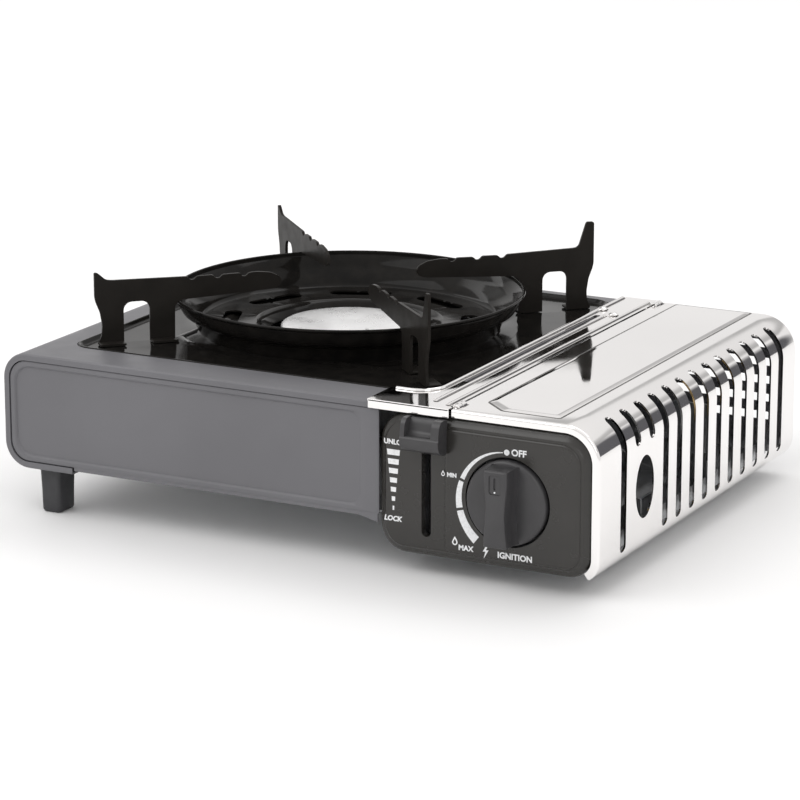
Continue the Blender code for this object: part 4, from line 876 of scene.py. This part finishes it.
def hinge_eyes(body, slot, side, offset):
    for index, start in enumerate(EYE_STARTS):
        near = start + offset
        profile = [(1.2 * MM, 0.0), (EYE_RADIUS, 0.0), (EYE_RADIUS, EYE_LENGTH), (1.2 * MM, EYE_LENGTH)]
        eye = turned("%s_eye_%d" % (body, index + 1), profile, (0, 0), 36)
        place = Matrix.Translation((HINGE_X, near + EYE_LENGTH, HINGE_Z))
        eye.data.transform(place @ Matrix.Rotation(math.pi / 2, 4, "X"))
        ends = sorted((HINGE_X + side * 1.6 * MM, HINGE_X + side * 4.6 * MM))
        arm = block(
            "%s_arm_%d" % (body, index + 1), (ends[0], near + 0.2 * MM, HINGE_Z - 0.45 * MM),
            (ends[1], near + EYE_LENGTH - 0.2 * MM, HINGE_Z + 0.45 * MM))
        for piece in (eye, arm):
            round_edges(piece, 0.15 * MM, 2)
            finish_piece(smooth(piece), body, CHROME, slot)


# ---------------------------------------------------------------- control panel, knob and lever
def control_panel():
    low, high = PANEL_LOW, PANEL_HIGH
    radii = (14.0 * MM, 12.5 * MM, 15.0 * MM, 16.5 * MM)

    def outline(inset):
        return rounded(
            (low.x + inset, low.z + inset), (high.x - inset, high.z - inset),
            tuple(r - inset for r in radii), 12)

    y = FRONT
    rows = [
        (0.0, y + 10.5 * MM), (0.0, y + 3.4 * MM), (0.2 * MM, y + 2.7 * MM), (0.8 * MM, y + 2.0 * MM),
        (1.8 * MM, y + 1.5 * MM), (3.0 * MM, y + 0.95 * MM), (3.6 * MM, y + 0.45 * MM),
        (4.0 * MM, y + 0.1 * MM), (4.6 * MM, y), (7.0 * MM, y)]
    face = rings("control_face", [[(px, py, pz) for px, pz in outline(inset)] for inset, py in rows])
    hollow = front_plate("hollow", [outline(2.2 * MM)], y + 4.6 * MM, y + 14 * MM)
    slot = front_plate(
        "slot", [rounded((LEVER_X - 2.6 * MM, 20.5 * MM), (LEVER_X + 2.6 * MM, 75.5 * MM), 2.5 * MM, 6)],
        y - 2 * MM, y + 5 * MM)
    knob_radius = 22.7 * MM
    hole = front_plate("hole", [arc((KNOB_X, KNOB_Z), knob_radius, 0, 356, 89)], y - 4 * MM, y + 14 * MM)
    cut(face, hollow)

    field_low = (low.x + 36.5 * MM, low.z + 4.4 * MM)
    field_high = (high.x - 5.2 * MM, high.z - 5.2 * MM)

    def field_outline(inset):
        corner = (3.0 * MM, 8.5 * MM, 10.5 * MM, 2.5 * MM)
        return rounded(
            (field_low[0] + inset, field_low[1] + inset), (field_high[0] - inset, field_high[1] - inset),
            tuple(max(0.4 * MM, r - inset) for r in corner), 10)

    field_rows = [
        (0.0, y + 1.6 * MM), (0.0, y + 0.1 * MM), (0.2 * MM, y - 0.3 * MM), (0.6 * MM, y - 0.75 * MM),
        (1.1 * MM, y - 0.98 * MM), (1.8 * MM, y - 1.05 * MM)]
    field = rings(
        "control_field", [[(px, py, pz) for px, pz in field_outline(inset)] for inset, py in field_rows])
    join(face, field)
    cut(face, slot, hole)
    round_edges(face, 0.25 * MM, 2, 50)
    finish_piece(smooth(face, 30), "stove", GLOSS, "control_panel", "control_panel")
    back = front_plate(
        "control_slot_back",
        [rounded((LEVER_X - 5 * MM, 18 * MM), (LEVER_X - 2.7 * MM, 78 * MM), 1.0 * MM, 3)], y + 2.2 * MM, y
        + 9 * MM)
    finish_piece(smooth(back), "stove", MATT, "control_panel")
    seat = turned(
        "knob_seat",
        [(knob_radius + 0.6 * MM, 2.6 * MM), (knob_radius + 0.6 * MM, 6.0 * MM), (9.0 * MM, 6.0 * MM),
        (9.0 * MM, 5.2 * MM), (knob_radius - 0.4 * MM, 5.2 * MM), (knob_radius - 0.1 * MM, 2.6 * MM)],
        (0, 0), 72)
    seat.data.transform(Matrix.Translation((KNOB_X, y, KNOB_Z)) @ Matrix.Rotation(-math.pi / 2, 4, "X"))
    finish_piece(smooth(seat), "stove", MATT, "control_panel")


def knob():
    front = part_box("control_knob")[0].y
    radius = (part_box("control_knob")[1].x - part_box("control_knob")[0].x) / 2
    face_y = FRONT - 4.0 * MM
    back_y = FRONT + 4.4 * MM
    depth = back_y - face_y
    profile = [
        (0.0, depth), (radius * 0.5, depth - 0.02 * MM), (radius - 2.2 * MM, depth - 0.15 * MM),
        (radius - 1.2 * MM, depth - 0.4 * MM), (radius - 0.45 * MM, depth - 0.95 * MM),
        (radius - 0.05 * MM, depth - 1.9 * MM), (radius, depth - 3.0 * MM), (radius, 0.0),
        (radius - 2.0 * MM, 0.0), (radius - 2.0 * MM, 3.6 * MM), (3.3 * MM, 3.6 * MM), (0.0, 3.6 * MM)]
    place = Matrix.Translation((KNOB_X, back_y, KNOB_Z)) @ Matrix.Rotation(math.pi / 2, 4, "X")
    disc = turned("knob_disc", profile[::-1], (0, 0), 96)
    disc.data.transform(place)
    finish_piece(smooth(disc, 40), "knob", SATIN, "control_knob", "control_knob")

    half = radius - 2.1 * MM
    steps = 24

    def side(z, scale, sign):
        pinch = math.cos(math.pi * z / (2 * half)) ** 2
        width = (6.4 - 1.1 * pinch) * MM * scale
        if sign > 0:
            width += 0.35 * MM * math.sin(math.pi * z / half)
        return width

    def grip_outline(scale, shorten):
        reach = half - shorten
        right = [(side(z, scale, 1), z) for z in (-reach + 2 * reach * i / steps for i in range(steps + 1))]
        left = [(-side(z, scale, -1), z) for z in (reach - 2 * reach * i / steps for i in range(steps + 1))]
        return soften(right + left, 1.6 * MM, 4)

    rows = []
    levels = (
        (1.22, 0.0, face_y + 0.8 * MM), (1.14, 0.0, face_y - 0.5 * MM), (1.04, 0.0, face_y - 2.4 * MM),
        (1.0, 0.0, face_y - 5.5 * MM), (0.98, 0.05, front + 1.6 * MM), (0.95, 0.20, front + 0.7 * MM),
        (0.89, 0.60, front + 0.2 * MM), (0.80, 1.20, front))
    for scale, shorten, level in levels:
        rows.append([(KNOB_X + px, level, KNOB_Z + pz) for px, pz in grip_outline(scale, shorten * MM)])
    grip = rings("knob_grip", rows)
    pocket = front_plate(
        "pocket",
        [rounded((KNOB_X - 3.0 * MM, KNOB_Z + 7.6 * MM), (KNOB_X + 3.6 * MM, KNOB_Z + 17.4 * MM), 1.5 * MM,
        5)], front - MM, front + 0.5 * MM)
    mark = front_plate(
        "mark",
        [rounded((KNOB_X - 0.65 * MM, KNOB_Z + 9.9 * MM), (KNOB_X + 0.65 * MM, KNOB_Z + 15.9 * MM),
        0.6 * MM, 4)], front - MM, front + 1.1 * MM)
    cut(grip, pocket, mark)
    round_edges(grip, 0.18 * MM, 2, 45)
    finish_piece(smooth(grip, 35), "knob", SATIN, "control_knob")
    dot = front_plate(
        "knob_dot", [circle((KNOB_X, KNOB_Z + 8.8 * MM), 0.45 * MM)], front + 0.25 * MM, front + 0.5 * MM)
    finish_piece(dot, "knob", WHITE, "control_knob")


def lever():
    low, high = LEVER_LOW, LEVER_HIGH
    middle = 72.8 * MM
    half = 11.6 * MM
    y = FRONT - 0.5 * MM
    hood = [
        (y, middle - 8.0 * MM), (y - 4.0 * MM, middle - 8.4 * MM), (y - 8.4 * MM, middle - 6.4 * MM),
        (y - 10.0 * MM, middle - 3.4 * MM), (y - 10.2 * MM, middle - 0.6 * MM),
        (y - 9.2 * MM, middle + 0.6 * MM), (y - 6.5 * MM, middle + 0.4 * MM),
        (y - 4.4 * MM, middle + 2.0 * MM), (y - 3.4 * MM, middle + 6.4 * MM),
        (y - 2.0 * MM, middle + 8.6 * MM), (y, middle + 8.9 * MM)]
    left = LEVER_X - half + 2.0 * MM
    body = side_plate("lever_tab", [soften(hood, 1.2 * MM, 4)], left, LEVER_X + half)
    wall = [
        (y, middle - 1.0 * MM), (y - 9.4 * MM, middle - 1.0 * MM), (y - 9.6 * MM, middle + 1.6 * MM),
        (y - 8.6 * MM, middle + 6.8 * MM), (y - 6.4 * MM, middle + 9.2 * MM), (y, middle + 9.2 * MM)]
    right_wall = side_plate(
        "lever_wall", [soften(wall, 1.4 * MM, 4)], LEVER_X + half - 4.4 * MM, LEVER_X + half - 0.05 * MM)
    left_wall = side_plate(
        "lever_wall_left", [soften(wall, 1.4 * MM, 4)], left + 0.05 * MM, left + 2.4 * MM)
    join(body, right_wall, left_wall)
    stem = block(
        "lever_stem", (LEVER_X - 1.8 * MM, y - 1.5 * MM, middle - 3.0 * MM),
        (LEVER_X + 1.8 * MM, high.y - 1.0 * MM, middle + 1.7 * MM))
    slider = block(
        "lever_slider", (low.x + 4.3 * MM, high.y - 2.5 * MM, middle - 7.5 * MM),
        (high.x - 4.3 * MM, high.y, middle + 3.6 * MM))
    round_edges(body, 0.7 * MM, 3, 40)
    finish_piece(smooth(body, 35), "lever", SATIN, "lock_lever", "lock_lever")
    for piece in (stem, slider):
        round_edges(piece, 0.3 * MM, 2)
        finish_piece(smooth(piece), "lever", SATIN, "lock_lever")


# ---------------------------------------------------------------- generic printed marks
def print_mark(name, outlines, y):
    mark = front_plate(name, outlines, y - 0.06 * MM, y + 0.05 * MM)
    return finish_piece(mark, "stove", WHITE, "control_panel")


def lettering(name, text, size, centre, y, shear=0.0, align="CENTER"):
    font = bpy.data.curves.new(name, "FONT")
    font.body = text
    font.size = size
    font.shear = shear
    font.align_x = align
    font.align_y = "CENTER"
    font.extrude = 0.05 * MM
    font.offset = 0.15 * MM
    font.resolution_u = 3
    holder = bpy.data.objects.new(name + "_font", font)
    bpy.context.scene.collection.objects.link(holder)
    bpy.context.view_layer.update()
    graph = bpy.context.evaluated_depsgraph_get()
    mesh = bpy.data.meshes.new_from_object(holder.evaluated_get(graph))
    bpy.data.objects.remove(holder, do_unlink=True)
    mesh.transform(Matrix.Translation((centre[0], y, centre[1])) @ UPRIGHT)
    obj = bpy.data.objects.new(name, mesh)
    bpy.context.scene.collection.objects.link(obj)
    return finish_piece(obj, "stove", WHITE, "control_panel")


def wedge(centre, start, end, inner, outer_at, steps=16):
    """A curved band that widens along its length; angles in degrees."""
    angles = [start + (end - start) * i / steps for i in range(steps + 1)]
    outside = [
        (centre[0] + outer_at(a) * math.cos(math.radians(a)), centre[1]
        + outer_at(a) * math.sin(math.radians(a))) for a in angles]
    inside = [
        (centre[0] + inner * math.cos(math.radians(a)), centre[1] + inner * math.sin(math.radians(a)))
        for a in angles]
    return outside + inside[::-1]


def marks():
    field_y = FRONT - 1.07 * MM
    base_y = FRONT - 0.02 * MM
    centre = (KNOB_X, KNOB_Z)
    inner = 24.8 * MM

    def outer_at(angle):
        share = (angle - 95) / (230 - 95)
        return inner + (0.4 + 4.2 * share) * MM

    for index, (start, end) in enumerate(((96, 160), (163, 193), (196, 232))):
        print_mark("scale_band_%d" % (index + 1), [wedge(centre, start, end, inner, outer_at)], field_y)
    print_mark("scale_dot", [circle((KNOB_X - 0.6 * MM, KNOB_Z + 25.2 * MM), 1.5 * MM)], field_y)
    lettering("mark_off", "OFF", 4.6 * MM, (KNOB_X + 5.9 * MM, KNOB_Z + 25.4 * MM), field_y)
    lettering("mark_min", "MIN", 2.9 * MM, (KNOB_X - 30.2 * MM, KNOB_Z + 9.8 * MM), field_y)
    lettering("mark_max", "MAX", 3.7 * MM, (KNOB_X - 22.4 * MM, KNOB_Z - 26.4 * MM), field_y)
    lettering("mark_ignition", "IGNITION", 4.2 * MM, (KNOB_X + 4.2 * MM, KNOB_Z - 27.2 * MM), field_y)
    bolt = [(0.9, 3.2), (-1.1, -0.3), (0.1, -0.2), (-0.7, -3.3), (1.5, 0.5), (0.3, 0.45), (1.7, 3.2)]
    spot = (KNOB_X - 11.8 * MM, KNOB_Z - 26.2 * MM)
    print_mark(
        "mark_spark", [[(spot[0] + px * 1.2 * MM, spot[1] + pz * 1.2 * MM) for px, pz in bolt]], field_y)
    for name, (
        px, pz), size in (("mark_flame_low", (-35.0, 10.2), 0.55),
        ("mark_flame_high", (-28.4, -23.4), 0.85)):
        spot = (KNOB_X + px * MM, KNOB_Z + pz * MM)
        drop = [
            (0.0, 3.0), (1.5, 0.6), (1.9, -0.8), (1.1, -2.2), (0.0, -2.6), (-1.1, -2.2), (-1.9, -0.8),
            (-1.2, 0.8)]
        outside = soften(
            [(spot[0] + a * size * MM, spot[1] + b * size * MM) for a, b in drop], 0.6 * size * MM, 3)
        inside = soften(
            [(spot[0] + a * size * 0.55 * MM, spot[1] + (b * 0.55 - 0.3) * size * MM) for a, b in drop],
            0.4 * size * MM, 3)
        print_mark(name, [outside, inside], field_y)
    bars = 7
    bar_x = PANEL_LOW.x + 8.2 * MM
    for i in range(bars):
        half = (7.2 - 1.05 * i) * MM / 2
        height = 2.9 * MM - 0.12 * MM * i
        z = 61.4 * MM - i * 4.75 * MM
        print_mark(
            "lock_bar_%d" % (i + 1),
            [[(bar_x - half, z + height / 2), (bar_x - half * 0.92, z - height / 2),
            (bar_x + half * 0.92, z - height / 2), (bar_x + half, z + height / 2)]], base_y)
    lettering("mark_unlock", "UNLOCK", 3.5 * MM, (bar_x + 2.0 * MM, 66.6 * MM), base_y)
    lettering("mark_lock", "LOCK", 3.6 * MM, (bar_x - 0.4 * MM, 27.4 * MM), base_y, 0.2)


# ---------------------------------------------------------------- feet and inner parts
def left_foot(node):
    low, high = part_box(node)
    middle = (low + high) / 2

    def section(grow, z):
        x0, x1 = low.x + grow, high.x - grow
        y0, y1 = low.y + grow, high.y - grow
        return [(px, py, z) for px, py in rounded((x0, y0), (x1, y1), 2.2 * MM, 6)]

    rows = [
        section(1.6 * MM, low.z), section(0.9 * MM, low.z + 0.3 * MM), section(0.5 * MM, low.z + 1.2 * MM),
        section(0.3 * MM, middle.z), section(0.0, high.z - 3 * MM), section(0.0, high.z)]
    foot = rings(node + "_block", rows)
    finish_piece(smooth(foot, 45), "stove", MATT, node, node)
    collar = level_plate(
        node + "_collar",
        [rounded((low.x - 0.9 * MM, low.y - 0.9 * MM), (high.x + 0.9 * MM, high.y + 0.9 * MM), 2.6 * MM,
        6)], high.z - 1.3 * MM, high.z)
    round_edges(collar, 0.4 * MM, 3)
    finish_piece(smooth(collar), "stove", MATT, node)


INNER = {
    "rear_panel": GREY,
    "base_pan": STEEL,
    "partition": STEEL,
    "valve_bracket": STEEL,
    "heat_conductor": CAST,
    "cradle_rail_front": STEEL,
    "cradle_rail_rear": STEEL,
    "cartridge_pusher": STEEL,
    "burner_bracket": STEEL,
    "mixing_tube": STEEL,
    "electrode_holder": STEEL,
    "regulator_body": CAST,
    "burner_body": CAST,
    "knob_shaft": CAST,
    "cartridge_collar": BRASS,
    "gas_jet": BRASS,
    "ignition_electrode": CAP,
    "electrode_insulator": CERAMIC,
    "electrode_wire": MATT,
    "piezo_igniter": MATT,
    "hinge_pin_front": CHROME,
    "hinge_pin_rear": CHROME,
    "plate_screw_1": CHROME,
    "plate_screw_2": CHROME,
    "foot_front_right": MATT,
    "foot_rear_right": MATT,
}
ROUND_NODES = (
    "mixing_tube", "regulator_body", "burner_body", "knob_shaft", "cartridge_collar", "electrode_insulator",
    "electrode_wire", "ignition_electrode")


def inner_parts():
    """CAD parts whose shape stays: each gets its material and smooth shading, and all but the round ones
    soft edges.
    """
    for node, finish in INNER.items():
        obj = NODES[node]
        for slot in obj.material_slots:
            slot.material = finish
        welded = obj.modifiers.new("weld", "WELD")
        welded.merge_threshold = 0.002 * MM
        obj.data.shade_smooth()
        obj.data.set_sharp_from_angle(angle=math.radians(35))
        if node not in ROUND_NODES:
            round_edges(obj, 0.15 * MM, 2, 50)


# ---------------------------------------------------------------- stage
def studio_world():
    """A white room: bright walls, a beige band where they meet the ceiling, and a bright ceiling."""
    world = bpy.data.worlds.new("studio")
    world.use_nodes = True
    nodes, links = world.node_tree.nodes, world.node_tree.links
    place = nodes.new("ShaderNodeTexCoord")
    split = nodes.new("ShaderNodeSeparateXYZ")
    bands = nodes.new("ShaderNodeValToRGB")
    stops = ((0.0, 0.95), (0.295, 1.0), (0.33, 0.52), (0.37, 0.62), (0.41, 0.95), (1.0, 1.1))
    while len(bands.color_ramp.elements) < len(stops):
        bands.color_ramp.elements.new(0.5)
    for element, (height, level) in zip(bands.color_ramp.elements, stops):
        element.position = height
        element.color = (level, level * 0.988, level * 0.982, 1.0)
    links.new(place.outputs["Generated"], split.inputs["Vector"])
    links.new(split.outputs["Z"], bands.inputs["Fac"])
    along = nodes.new("ShaderNodeVectorMath")
    along.operation = "DOT_PRODUCT"
    along.inputs[1].default_value = (0.50, 0.857, 0.12)
    doorway = nodes.new("ShaderNodeValToRGB")
    doorway.color_ramp.elements[0].position = 0.972
    doorway.color_ramp.elements[0].color = (1.0, 1.0, 1.0, 1.0)
    doorway.color_ramp.elements[1].position = 0.988
    doorway.color_ramp.elements[1].color = (0.13, 0.13, 0.14, 1.0)
    shaded = nodes.new("ShaderNodeMix")
    shaded.data_type = "RGBA"
    shaded.blend_type = "MULTIPLY"
    shaded.inputs["Factor"].default_value = 1.0
    links.new(place.outputs["Generated"], along.inputs[0])
    links.new(along.outputs["Value"], doorway.inputs["Fac"])
    links.new(bands.outputs["Color"], shaded.inputs[6])
    links.new(doorway.outputs["Color"], shaded.inputs[7])
    links.new(shaded.outputs[2], nodes["Background"].inputs["Color"])
    nodes["Background"].inputs["Strength"].default_value = 0.90
    return world


FLOOR_HALF = 6.0
FLOOR_DROP = 0.0002
LIGHT_TARGET = Vector((0.0, 0.0, 0.05))
# fitted to the photo
CAMERA_AZIMUTH, CAMERA_ELEVATION, CAMERA_DISTANCE = math.radians(27.52), math.radians(14.95), 1.749
CAMERA_AIM = Vector((BURNER.x + 82.0 * MM, BURNER.y - 98.6 * MM, 76.8 * MM))
SENSOR_WIDTH, FOCAL_PIXELS, FRAME_PIXELS = 36.0, 3488.0, 800.0


def stage():
    shape = bmesh.new()
    bmesh.ops.create_grid(shape, x_segments=2, y_segments=2, size=FLOOR_HALF)
    floor = new_object("floor", shape)
    floor.location.z = -FLOOR_DROP
    ground = principled("pale_floor", (0.92, 0.92, 0.92), 0.6)
    vary(
        ground, "Base Color", noise(ground, 3, 3),
        [(0.3, (0.925, 0.925, 0.925)), (0.7, (0.945, 0.945, 0.945))])
    floor.data.materials.append(ground)

    bpy.context.scene.world = studio_world()
    bpy.context.scene.view_settings.view_transform = "Standard"

    lights = (
        ("key", (-1.5, -1.9, 2.6), (2.6, 1.8), 27.0), ("fill", (2.4, -1.8, 1.8), (1.2, 2.0), 9.0),
        ("back", (0.5, 1.5, 2.6), (2.6, 0.8), 11.0), ("side", (-2.4, 0.6, 1.3), (0.5, 2.0), 6.0))
    for name, place, size, power in lights:
        lamp = bpy.data.lights.new(name, "AREA")
        lamp.shape = "RECTANGLE"
        lamp.size, lamp.size_y = size
        lamp.energy = power
        holder = bpy.data.objects.new(name, lamp)
        holder.location = place
        holder.rotation_euler = (LIGHT_TARGET - Vector(place)).to_track_quat("-Z", "Y").to_euler()
        bpy.context.scene.collection.objects.link(holder)

    level = math.cos(CAMERA_ELEVATION)
    away = Vector(
        (math.sin(CAMERA_AZIMUTH) * level, -math.cos(CAMERA_AZIMUTH) * level, math.sin(CAMERA_ELEVATION)))
    lens = bpy.data.cameras.new("camera")
    lens.sensor_width = SENSOR_WIDTH
    lens.lens = FOCAL_PIXELS * SENSOR_WIDTH / FRAME_PIXELS
    lens.clip_start = 0.05
    lens.clip_end = 50.0
    camera = bpy.data.objects.new("camera", lens)
    camera.location = CAMERA_AIM + away * CAMERA_DISTANCE
    camera.rotation_euler = (-away).to_track_quat("-Z", "Y").to_euler()
    bpy.context.scene.collection.objects.link(camera)
    bpy.context.scene.camera = camera


def build():
    stage()
    body_shell()
    front_panel()
    drip_tray()
    wind_ring()
    burner_cap()
    for node, degrees in SUPPORTS.items():
        pan_support(node, degrees)
    top_plate()
    cartridge_lid()
    control_panel()
    knob()
    lever()
    marks()
    left_foot("foot_front_left")
    left_foot("foot_rear_left")
    inner_parts()


build()
